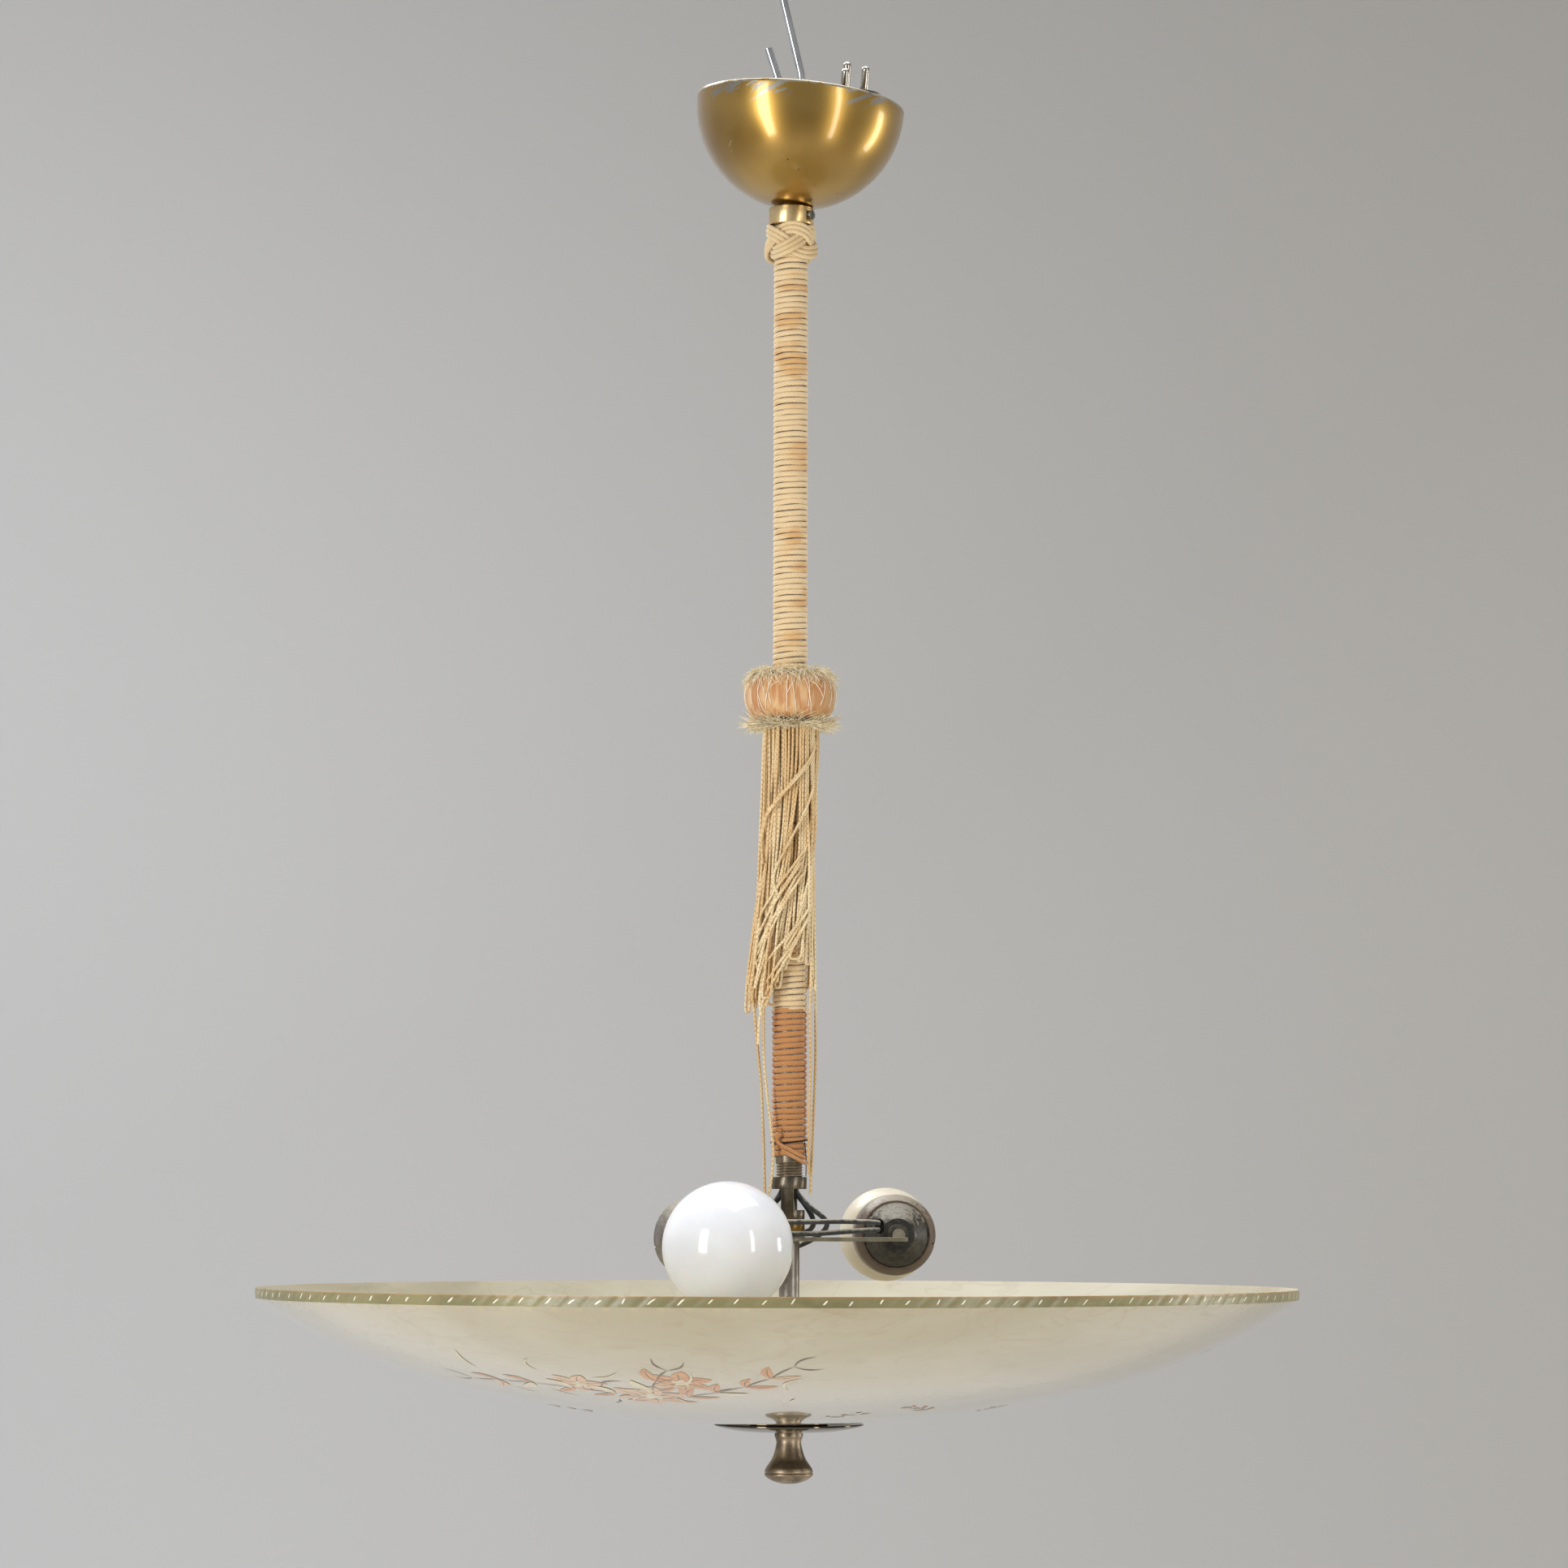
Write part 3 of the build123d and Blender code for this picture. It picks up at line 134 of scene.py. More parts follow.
class Recipe:
    """Builds one material and its nodes."""

    def __init__(self, name: str) -> None:
        """Start from a fresh material with one Principled shader."""
        self.material = bpy.data.materials.new(name)
        self.material.use_nodes = True
        self.tree = self.material.node_tree
        self.shader = self.tree.nodes["Principled BSDF"]

    def node(
        self,
        kind: str,
        settings: dict[str, object] | None = None,
        inputs: dict[int | str, object] | None = None,
        output: int | str = 0,
    ) -> Link:
        """Add one node.

        Args:
            kind: The node's type.
            settings: Its own settings, set first.
            inputs: Values or links of its sockets.
            output: The socket that is handed back.
        Returns:
            The chosen output.
        """
        node = self.tree.nodes.new(kind)
        for key, value in (settings or {}).items():
            setattr(node, key, value)
        for key, value in (inputs or {}).items():
            self.feed(node.inputs[key], value)
        return Link(self, node.outputs[output])

    def feed(self, socket: bpy.types.NodeSocket, value: object) -> None:
        """Join a link to a socket, or set the socket's value."""
        if isinstance(value, Link):
            self.tree.links.new(value.socket, socket)
        else:
            socket.default_value = value

    def place(self) -> Link:
        """Position on the object at rest, in metres."""
        return self.node("ShaderNodeTexCoord", output="Object")

    def axes(self) -> tuple[Link, Link, Link]:
        """Object position split into x, y and z."""
        split = self.node("ShaderNodeSeparateXYZ", inputs={0: self.place()}).socket.node
        return tuple(Link(self, output) for output in split.outputs)

    def upward(self) -> Link:
        """How far the surface faces up, from -1 to 1."""
        normal = self.node("ShaderNodeTexCoord", output="Normal")
        return self.node("ShaderNodeSeparateXYZ", inputs={0: normal}, output=2)

    def cloud(
        self,
        scale: float,
        detail: float = 4,
        stretch: Point = (1, 1, 1),
        warp: float = 0,
        lean: float = 0,
    ) -> Link:
        """Soft noise from 0 to 1.

        Args:
            scale: Waves per metre.
            detail: Octaves.
            stretch: Scale of each axis.
            warp: Distortion.
            lean: Turn of the stretched axes about Y, in degrees.
        Returns:
            The noise.
        """
        place = self.node(
            "ShaderNodeMapping",
            {"vector_type": "TEXTURE"},
            {
                "Vector": self.place(),
                "Rotation": (0, math.radians(lean), 0),
                "Scale": tuple(1 / share for share in stretch),
            },
        )
        return self.node(
            "ShaderNodeTexNoise",
            inputs={"Vector": place, "Scale": scale, "Detail": detail, "Distortion": warp},
        )

    def specks(self, scale: float) -> Link:
        """Distance from scattered points, in cells."""
        return self.node("ShaderNodeTexVoronoi", inputs={"Vector": self.place(), "Scale": scale})

    def between(self, value: Link, low: float, high: float) -> Link:
        """Ease a value from 0 at low to 1 at high."""
        return self.node(
            "ShaderNodeMapRange",
            {"interpolation_type": "SMOOTHSTEP"},
            {"Value": value, "From Min": low, "From Max": high},
        )

    def patches(
        self,
        scale: float,
        detail: float,
        low: float,
        high: float,
        stretch: Point = (1, 1, 1),
        warp: float = 0,
        lean: float = 0,
    ) -> Link:
        """Soft noise eased from 0 at low to 1 at high; the rest is as in cloud."""
        return self.between(self.cloud(scale, detail, stretch, warp, lean), low, high)

    def mix(self, share: Link | float, first: Link | str, second: Link | str) -> Link:
        """Blend two colours, links or screen colours, by a share from 0 to 1."""
        ends = [tone(end) if isinstance(end, str) else end for end in (first, second)]
        return self.node(
            "ShaderNodeMix",
            {"data_type": "RGBA", "clamp_factor": True},
            {0: share, 6: ends[0], 7: ends[1]},
            output=2,
        )

    def bump(self, height: Link, depth: float, strength: float = 1.0) -> Link:
        """Turn a height from 0 to 1 into a normal, with its depth in millimetres."""
        return self.node(
            "ShaderNodeBump", inputs={"Height": height, "Distance": depth * MM, "Strength": strength}
        )

    def dress(self, **sockets: object) -> bpy.types.Material:
        """Feed the shader's sockets, named with underscores, and hand back the material."""
        for key, value in sockets.items():
            self.feed(self.shader.inputs[key.replace("_", " ")], value)
        return self.material


# Finishes


@dataclass(frozen=True)
class Metal:
    """Metal with drifting tone, fine wear and, where asked, dust on top.

    Attributes:
        name: Name of the material.
        colour: Main tone.
        second: Tone that it drifts to.
        roughness: Base roughness.
        grain: Waves per metre of the drift.
        flecks: Share of small lighter flecks.
        dust: Strength of dust on surfaces that face up.
        fleck_tone: Colour of the flecks.
        tooth: Depth of the fine surface wear, in millimetres.
    """

    name: str
    colour: str
    second: str
    roughness: float
    grain: float = 60
    flecks: float = 0.0
    dust: float = 0.0
    fleck_tone: str = "#D6B36C"
    tooth: float = 0.02

    def material(self) -> bpy.types.Material:
        """Build the material."""
        mix = Recipe(self.name)
        drift = mix.patches(self.grain, 5, 0.35, 0.65)
        colour = mix.mix(drift, self.colour, self.second)
        fine = mix.cloud(self.grain * 22, 3)
        if self.flecks:
            worn = mix.patches(self.grain * 14, 6, 0.72 - self.flecks, 0.78, warp=0.6)
            colour = mix.mix(worn, colour, self.fleck_tone)
        rough = fine * (self.roughness * 0.6) + self.roughness * 0.7
        metallic: Link | float = 1.0
        if self.dust:
            settled = mix.between(mix.upward() + mix.cloud(700, 3) * 0.7, 0.75, 1.2) * self.dust
            colour = mix.mix(settled, colour, "#B5AB95")
            rough = rough.larger(settled * 0.85)
            metallic = 1 - settled
        return mix.dress(
            Base_Color=colour, Roughness=rough, Metallic=metallic, Normal=mix.bump(fine, self.tooth, 0.5)
        )


@dataclass(frozen=True)
class CupLacquer:
    """Gold lacquer on brass, rubbed through to grey metal near the rim.

    Attributes:
        name: Name of the material.
        rim_height: Height of the rim's middle.
        tilt: Lean of the cup, in degrees.
    """

    name: str = "cup_lacquer"
    rim_height: float = 667.0
    tilt: float = 5.0

    def material(self) -> bpy.types.Material:
        """Build the material."""
        mix = Recipe(self.name)
        x, y, z = mix.axes()
        rim = (self.rim_height - HOOK_HEIGHT) * MM
        depth = rim - z - x * math.sin(math.radians(self.tilt))
        drift = mix.patches(16, 3, 0.3, 0.7)
        colour = mix.mix(drift, "#B8954A", "#967434")
        near_rim = 1 - mix.between(depth, 0.002, 0.019)
        around = y.bearing(x)
        left_worn = 1 - mix.between((around + 2.08).size(), 0.42, 0.62)
        right_worn = 1 - mix.between((around + 0.82).size(), 0.18, 0.32)
        worn = left_worn.larger(right_worn) * near_rim
        streaks = mix.cloud(62, 5, (0.75, 0.75, 6.5), 0.35, -24)
        chips = mix.between(streaks + worn * 0.22, 0.735, 0.765) * worn
        edge = 1 - mix.between(depth, 0.0004, 0.0018)
        edge_chips = mix.between(mix.cloud(260, 5) + edge * 0.3, 0.66, 0.72) * edge
        specks = 1 - mix.between(mix.specks(120), 0.04, 0.07)
        rare = mix.patches(38, 2, 0.56, 0.60)
        scratches = mix.patches(46, 3, 0.72, 0.74, (9.0, 1.0, 0.5), 0.2, 24)
        colour = mix.mix(specks * rare * 0.85, colour, "#3A2A14")
        colour = mix.mix(scratches * 0.35, colour, "#E3D9BE")
        colour = mix.mix(chips * 0.9, colour, "#8E8C85")
        colour = mix.mix(edge_chips, colour, "#C9BFA6")
        satin = mix.cloud(60, 3) * 0.06 + 0.27
        return mix.dress(
            Base_Color=colour,
            Metallic=1.0,
            Roughness=satin.larger(chips * 0.42),
            Coat_Weight=0.8,
            Coat_Roughness=0.10,
            Normal=mix.bump(1 - chips.larger(edge_chips), 0.03, 0.5),
        )


class BowlFace(Enum):
    """Which side of the bowl a glass finish is for."""

    OUTSIDE = "bowl_outside"
    INSIDE = "bowl_inside"
    RIM = "bowl_rim"


@dataclass(frozen=True)
class BowlGlass:
    """Opal glass with cloudy marbling.

    Attributes:
        face: The side of the bowl.
        light: Lighter tone.
        dark: Darker tone.
        stain: Tone of the thin brownish clouds.
        roughness: Of the glass under its gloss.
        glow: How much light spreads inside it.
        rim_height: Height of the middle of the rim's band.
    """

    face: BowlFace
    light: str
    dark: str
    stain: str
    roughness: float = 0.12
    glow: float = 0.12
    rim_height: float = 90.3

    def material(self) -> bpy.types.Material:
        """Build the material."""
        mix = Recipe(self.face.value)
        marble = mix.patches(7, 6, 0.32, 0.68, (1, 1, 2.4), 1.4)
        colour = mix.mix(marble, self.light, self.dark)
        stain = mix.patches(11, 5, 0.58, 0.74, (1, 1, 3), 2.2) * 0.5
        colour = mix.mix(stain, colour, self.stain)
        veins = 1 - mix.between((mix.cloud(9, 7, (1, 1, 2), 2.8) - 0.5).size(), 0.0, 0.02)
        colour = mix.mix(veins * 0.22, colour, self.stain)
        rough = mix.cloud(60, 3) * 0.08 + (self.roughness - 0.04)
        if self.face is BowlFace.RIM:
            x, y, z = mix.axes()
            around = y.bearing(x - BOWL_SHIFT * MM) * BOWL_NICKS + mix.cloud(55, 2) * 4.5
            rise = z - (self.rim_height - HOOK_HEIGHT) * MM
            phase = around - rise * 480
            ragged = rise + (mix.cloud(90, 2) - 0.5) * 0.003
            band = 1 - mix.between(ragged.size(), 0.0006, 0.0013)
            glint = mix.between(phase.sine(), 0.955, 0.99) * band
            shade = mix.between((phase + 0.42).sine(), 0.955, 0.99) * band
            colour = mix.mix(shade * 0.5, colour, "#6E6A48")
            colour = mix.mix(glint * 0.9, colour, "#F2F0DA")
        return mix.dress(
            Base_Color=colour,
            Roughness=rough,
            Subsurface_Weight=self.glow,
            Subsurface_Scale=0.006,
            IOR=1.5,
            Coat_Weight=1.0 if self.face is BowlFace.OUTSIDE else 0.1,
            Coat_Roughness=0.02 if self.face is BowlFace.OUTSIDE else 0.3,
            Normal=mix.bump(mix.cloud(30, 3), 0.12, 0.2),
        )


@dataclass(frozen=True)
class BulbGlass:
    """White bulb glass, glossy or frosted.

    Attributes:
        name: Name of the material.
        colour: Main tone.
        shade: Tone of the faint haze.
        roughness: Base roughness.
        glow: How much light spreads inside it.
    """

    name: str
    colour: str
    shade: str
    roughness: float
    glow: float

    def material(self) -> bpy.types.Material:
        """Build the material."""
        mix = Recipe(self.name)
        haze = mix.patches(45, 3, 0.35, 0.7)
        colour = mix.mix(haze, self.colour, self.shade)
        return mix.dress(
            Base_Color=colour,
            Roughness=mix.cloud(300, 2) * 0.06 + self.roughness,
            Subsurface_Weight=self.glow,
            Subsurface_Scale=0.01,
            Coat_Weight=0.3,
            Coat_Roughness=0.1,
        )


@dataclass(frozen=True)
class WoundCord:
    """Twisted cotton cord that lies in turns round the stem.

    Attributes:
        name: Name of the material.
        colour: Main tone.
        gap: Tone of the painted shade in the hollows between the yarns, also mixed in by the fibre noise.
        patch: Tone of the faded or stained patches.
        patch_share: Level of the noise at which a patch starts.
        yarns: Yarns of the lay round one turn of the stem, in radians of phase.
        lean: Slope of the yarns, in turns of the stem per metre.
    """

    name: str
    colour: str
    gap: str
    patch: str
    patch_share: float = 0.5
    yarns: float = 26
    lean: float = 900

    def material(self) -> bpy.types.Material:
        """Build the material."""
        mix = Recipe(self.name)
        x, y, z = mix.axes()
        turn = y.bearing(x)
        wobble = mix.cloud(500, 2) * 2.2
        lay = (turn * self.yarns + z * (self.lean * 2 * math.pi) + wobble).sine() * 0.5 + 0.5
        fibre = mix.cloud(2600, 3)
        patches = mix.patches(34, 4, self.patch_share, self.patch_share + 0.16, (1, 1, 2.5))
        colour = mix.mix(patches, self.colour, self.patch)
        # Painted shade in the hollows between the yarns, plus fibre noise, toward the gap tone.
        colour = mix.mix((1 - lay) * 0.45 + fibre * 0.25, colour, self.gap)
        return mix.dress(
            Base_Color=colour,
            Roughness=0.85,
            Sheen_Weight=0.35,
            Sheen_Roughness=0.5,
            Normal=mix.bump(lay * 0.8 + fibre * 0.4, 0.18, 0.8),
        )


@dataclass(frozen=True)
class BraidedCord:
    """Thin braided cord with a soft shine.

    Attributes:
        name: Name of the material.
        colour: Main tone.
        light: Tone of the paler cords.
        shadow: Tone between the strands of the braid.
        plait: Crossings of the braid per metre.
        shine: Base roughness.
    """

    name: str
    colour: str
    light: str
    shadow: str
    plait: float = 1050
    shine: float = 0.5

    def material(self) -> bpy.types.Material:
        """Build the material."""
        mix = Recipe(self.name)
        x, y, z = mix.axes()
        across = (x + y) * (self.plait * 2.6)
        down = z * (self.plait * 2.6)
        left = (down + across).sine()
        right = (down - across).sine()
        plait = left.larger(right) * 0.5 + 0.5
        drift = mix.patches(120, 3, 0.38, 0.66, (1, 1, 0.15))
        colour = mix.mix(drift, self.colour, self.light)
        colour = mix.mix((1 - plait) * 0.65, colour, self.shadow)
        return mix.dress(
            Base_Color=colour,
            Roughness=self.shine,
            Sheen_Weight=0.25,
            Sheen_Roughness=0.4,
            Normal=mix.bump(plait, 0.16, 0.8),
        )


@dataclass(frozen=True)
class SilkThread:
    """Silk threads laid side by side over the ring.

    Attributes:
        name: Name of the material.
        threads: Threads round the ring, in radians of phase.
    """

    name: str = "peach_silk"
    threads: float = 230

    def material(self) -> bpy.types.Material:
        """Build the material."""
        mix = Recipe(self.name)
        x, y, _ = mix.axes()
        turn = y.bearing(x)
        waver = mix.cloud(90, 3) * 2.4
        thread = (turn * self.threads + waver).sine() * 0.5 + 0.5
        bundles = mix.cloud(330, 4, (1, 1, 0.12))
        colour = mix.mix(mix.between(bundles, 0.38, 0.64), "#CC8F58", "#EBC48F")
        gold = mix.between(x, 0.006, 0.014) * mix.patches(60, 2, 0.4, 0.6)
        colour = mix.mix(gold * 0.7, colour, "#C99A55")
        # Painted shade in the grooves between the laid threads.
        colour = mix.mix((1 - thread) * 0.4, colour, "#9A5F3C")
        return mix.dress(
            Base_Color=colour,
            Roughness=0.42,
            Sheen_Weight=0.5,
            Sheen_Roughness=0.3,
            Normal=mix.bump(thread * 0.6 + bundles * 0.6, 0.2, 0.8),
        )


@dataclass(frozen=True)
class Straw:
    """Loose straw-coloured fibre.

    Attributes:
        name: Name of the material.
        colour: Main tone.
        light: Tone of the paler fibres.
        dark: Tone of the darker tufts.
    """

    name: str
    colour: str
    light: str
    dark: str

    def material(self) -> bpy.types.Material:
        """Build the material."""
        mix = Recipe(self.name)
        strand = mix.cloud(900, 3, (1, 1, 0.3))
        colour = mix.mix(mix.between(strand, 0.4, 0.62), self.colour, self.light)
        colour = mix.mix(mix.patches(140, 3, 0.56, 0.74), colour, self.dark)
        return mix.dress(
            Base_Color=colour,
            Roughness=0.7,
            Sheen_Weight=0.4,
            Sheen_Roughness=0.4,
            Normal=mix.bump(strand, 0.08, 0.5),
        )


@dataclass(frozen=True)
class TextileCable:
    """Dark woven sheath with pale dust in its weave.

    Attributes:
        name: Name of the material.
        colour: Main tone.
        dust: Colour of the dust.
        settled: Strength of the dust on top.
    """

    name: str
    colour: str = "#33373C"
    dust: str = "#BDB49F"
    settled: float = 0.85

    def material(self) -> bpy.types.Material:
        """Build the material."""
        mix = Recipe(self.name)
        x, y, z = mix.axes()
        weave = ((x + z) * 6200).sine() * ((y - z) * 6200).sine() * 0.5 + 0.5
        lint = mix.cloud(420, 5)
        top = mix.between(mix.upward() * 0.8 + lint, 0.55, 1.15) * self.settled
        colour = mix.mix(mix.between(lint, 0.35, 0.7), self.colour, "#4A4D50")
        # Painted shade in the gaps of the weave.
        colour = mix.mix((1 - weave) * 0.4, colour, "#17181A")
        colour = mix.mix(top, colour, self.dust)
        return mix.dress(
            Base_Color=colour,
            Roughness=0.82,
            Sheen_Weight=0.15,
            Normal=mix.bump(weave * 0.7 + lint * 0.3, 0.12, 0.8),
        )


@dataclass(frozen=True)
class Moulding:
    """Moulded plastic, porcelain or rubber, with scuffs and dust.

    Attributes:
        name: Name of the material.
        colour: Main tone.
        second: Tone that it drifts to.
        roughness: Base roughness.
        dust: Strength of the dust film.
        dust_tone: Colour of the dust.
    """

    name: str
    colour: str
    second: str
    roughness: float
    dust: float = 0.0
    dust_tone: str = "#A8A08D"

    def material(self) -> bpy.types.Material:
        """Build the material."""
        mix = Recipe(self.name)
        drift = mix.patches(80, 4, 0.35, 0.7)
        colour = mix.mix(drift, self.colour, self.second)
        film = mix.patches(240, 6, 0.42, 0.72, warp=0.8)
        rough = film * 0.25 + self.roughness
        if self.dust:
            grime = mix.between(mix.upward() * 0.5 + mix.cloud(520, 5), 0.62, 0.95) * self.dust
            colour = mix.mix(grime.larger(film * (self.dust * 0.2)), colour, self.dust_tone)
            rough = rough.larger(grime * 0.9)
        return mix.dress(Base_Color=colour, Roughness=rough, Normal=mix.bump(film, 0.04, 0.5))


@dataclass(frozen=True)
class Paint:
    """Thin hand paint with uneven cover.

    Attributes:
        name: Name of the material.
        colour: Main tone.
        second: Tone that it drifts to.
    """

    name: str
    colour: str
    second: str

    def material(self) -> bpy.types.Material:
        """Build the material."""
        mix = Recipe(self.name)
        brush = mix.patches(160, 4, 0.35, 0.65, (1, 1, 2))
        colour = mix.mix(brush, self.colour, self.second)
        return mix.dress(
            Base_Color=colour,
            Roughness=mix.cloud(200, 2) * 0.1 + 0.2,
            Coat_Weight=0.4,
            Coat_Roughness=0.08,
        )


@dataclass(frozen=True)
class Backdrop:
    """Pale studio paper with painted light and shade: lighter on the left, darker high up and low down."""

    name: str = "studio_paper"

    def material(self) -> bpy.types.Material:
        """Build the material."""
        mix = Recipe(self.name)
        x, y, z = mix.axes()
        # Painted light: the paper is lighter on the left and darker to the right.
        across = mix.between(x + z * 0.12, -1.5, 1.6)
        colour = mix.mix(across, "#F2F3F5", "#CCC9C4")
        # Painted shade higher up the wall, more so to the right.
        high = mix.between(z + x * 0.25, -0.5, 1.3)
        colour = mix.mix(high * 0.35, colour, "#C4C1BC")
        # Painted shade toward the foot of the wall.
        low = 1 - mix.between(z, -1.5, 0.9)
        colour = mix.mix(low * 0.32, colour, "#A7A49F")
        floor = (1 - mix.between(z, -1.7, -1.3)) * (1 - mix.between(y, -0.4, 2.4))
        colour = mix.mix(floor, colour, "#C2BEB7")
        return mix.dress(Base_Color=colour, Roughness=0.95)


# Mesh building


@dataclass
class Skin:
    """Gathers vertices and faces of one piece, each face with a finish number."""

    name: str

    def __post_init__(self) -> None:
        """Start empty."""
        self.vertices: list[Vector] = []
        self.faces: list[tuple[int, ...]] = []
        self.slots: list[int] = []

    def add(self, vertices: Sequence[Vector], faces: Sequence[Sequence[int]], slot: int = 0) -> None:
        """Add a patch.

        Args:
            vertices: Its places, in metres.
            faces: Its faces, by the patch's own vertex numbers.
            slot: The finish of its faces.
        """
        base = len(self.vertices)
        self.vertices.extend(vertices)
        self.faces.extend(tuple(base + i for i in face) for face in faces)
        self.slots.extend([slot] * len(faces))

    def piece(
        self,
        finishes: Sequence[bpy.types.Material],
        body: str,
        replaces: Sequence[str] = (),
        sharp: float = 40,
    ) -> bpy.types.Object:
        """Turn the skin into an object that rides on a body.

        Args:
            finishes: Materials in the order of the finish numbers.
            body: The CAD body that carries it.
            replaces: CAD nodes that it stands for.
            sharp: Angle in degrees over which an edge stays sharp.
        Returns:
            The object.
        """
        mesh = bpy.data.meshes.new(self.name)
        mesh.from_pydata(self.vertices, [], self.faces)
        mesh.validate()
        mesh.shade_smooth()
        mesh.set_sharp_from_angle(angle=math.radians(sharp))
        for finish in finishes:
            mesh.materials.append(finish)
        if len(mesh.polygons) == len(self.slots):
            mesh.polygons.foreach_set("material_index", self.slots)
        obj = bpy.data.objects.new(self.name, mesh)
        bpy.context.scene.collection.objects.link(obj)
        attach(obj, body)
        if replaces:
            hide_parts(*replaces)
        return obj


def lathe(
    skin: Skin,
    profile: Profile,
    segments: int = 96,
    closed: bool = False,
    place: Matrix | None = None,
    slots: Sequence[int] | None = None,
    shift: Callable[[float, int, float, float], tuple[float, float]] | None = None,
) -> None:
    """Turn a profile of radius and height round the stem's axis.

    Args:
        skin: Where the surface goes.
        profile: Radius and height of each ring, in millimetres.
        segments: Divisions round the axis.
        closed: Join the last ring to the first.
        place: Carries the points on, in millimetres, before heights are lowered.
        slots: Finish number of each band.
        shift: Moves a point by its angle, ring, radius and height.
    """
    vertices = []
    for ring, (radius, height) in enumerate(profile):
        for step in range(segments):
            angle = FULL_TURN * step / segments
            r, h = shift(angle, ring, radius, height) if shift else (radius, height)
            spot = polar(r, angle, h)
            if place:
                spot = place @ spot
            vertices.append(at(*spot))
    rings = len(profile)
    base = len(skin.vertices)
    skin.vertices.extend(vertices)
    for band in range(rings if closed else rings - 1):
        low = base + band * segments
        high = base + ((band + 1) % rings) * segments
        for step in range(segments):
            after = (step + 1) % segments
            skin.faces.append((low + step, low + after, high + after, high + step))
            skin.slots.append(slots[band] if slots else 0)


def spline(points: Sequence[Vector], per_span: int, closed: bool = False) -> list[Vector]:
    """Smooth curve through points.

    Args:
        points: The points.
        per_span: Samples between two points.
        closed: Join the last to the first.
    Returns:
        The samples.
    """
    count = len(points)
    spans = count if closed else count - 1
    out = []
    for i in range(spans):
        if closed:
            a, b, c, d = (points[(i + k) % count] for k in (-1, 0, 1, 2))
        else:
            b, c = points[i], points[i + 1]
            a = points[i - 1] if i else b * 2 - c
            d = points[i + 2] if i + 2 < count else c * 2 - b
        for step in range(per_span):
            t = step / per_span
            out.append(
                (b * 2 + (c - a) * t + (a * 2 - b * 5 + c * 4 - d) * t**2
                 + (b * 3 - a - c * 3 + d) * t**3) * 0.5
            )
    if not closed:
        out.append(points[-1].copy())
    return out


def tube(
    skin: Skin,
    line: Sequence[Vector],
    radius: float | Callable[[float], float],
    sides: int = 8,
    closed: bool = False,
    slot: int = 0,
    ripple: Callable[[int, int], float] | None = None,
) -> None:
    """Run a round section along a line.

    Args:
        skin: Where the surface goes.
        line: The centre line, in millimetres with true heights.
        radius: Radius in millimetres, or a function of the share along the line.
        sides: Sides of the section.
        closed: Join the end to the start.
        slot: Finish number.
        ripple: Scale of the radius by ring and side.
    """
    count = len(line)
    vertices, faces = [], []
    guide = None
    for i, spot in enumerate(line):
        before = line[i - 1] if i or closed else spot
        after = line[(i + 1) % count] if i + 1 < count or closed else spot
        way = (after - before).normalized()
        if guide is None:
            guide = way.orthogonal().normalized()
        guide = (guide - way * guide.dot(way)).normalized()
        other = way.cross(guide)
        share = i / max(1, count - 1)
        size = radius(share) if callable(radius) else radius
        for side in range(sides):
            angle = FULL_TURN * side / sides
            scale = size * (ripple(i, side) if ripple else 1)
            vertices.append(at(*(spot + (guide * math.cos(angle) + other * math.sin(angle)) * scale)))
    for i in range(count if closed else count - 1):
        low, high = i * sides, ((i + 1) % count) * sides
        for side in range(sides):
            after = (side + 1) % sides
            faces.append((low + side, low + after, high + after, high + side))
    if not closed:
        faces.append(tuple(reversed(range(sides))))
        faces.append(tuple((count - 1) * sides + k for k in range(sides)))
    skin.add(vertices, faces, slot)


def arc(middle: tuple[float, float], radius: float, start: float, end: float, steps: int) -> Profile:
    """Points of radius and height along an arc.

    Args:
        middle: Radius and height of its middle.
        radius: Its radius.
        start: Its first angle in radians, 0 pointing down and a quarter turn outward.
        end: Its last angle.
        steps: How many parts it has.
    Returns:
        The points.
    """
    angles = [start + (end - start) * step / steps for step in range(steps + 1)]
    return [(middle[0] + radius * math.sin(a), middle[1] - radius * math.cos(a)) for a in angles]


def bent(points: Sequence[tuple[float, float]], per_span: int = 6) -> list[tuple[float, float]]:
    """Smooth profile through points of radius and height."""
    line = spline([Vector((r, h, 0)) for r, h in points], per_span)
    return [(max(p.x, 0.02), p.y) for p in line]


def dress_nodes(names: Sequence[str], finish: bpy.types.Material, bevel: float = 0.0) -> None:
    """Give carried-over CAD nodes their finish, and soften their edges.

    Args:
        names: The nodes.
        finish: Their material.
        bevel: Width of the softened edges, in millimetres.
    """
    for name in names:
        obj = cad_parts[name]
        obj.data.materials.clear()
        obj.data.materials.append(finish)
        if bevel:
            weld = obj.modifiers.new("weld", "WELD")
            weld.merge_threshold = 1e-6
            soften = obj.modifiers.new("soften", "BEVEL")
            soften.width = bevel * MM
            soften.segments = 2
            soften.angle_limit = math.radians(50)
            soften.harden_normals = True


# Cords


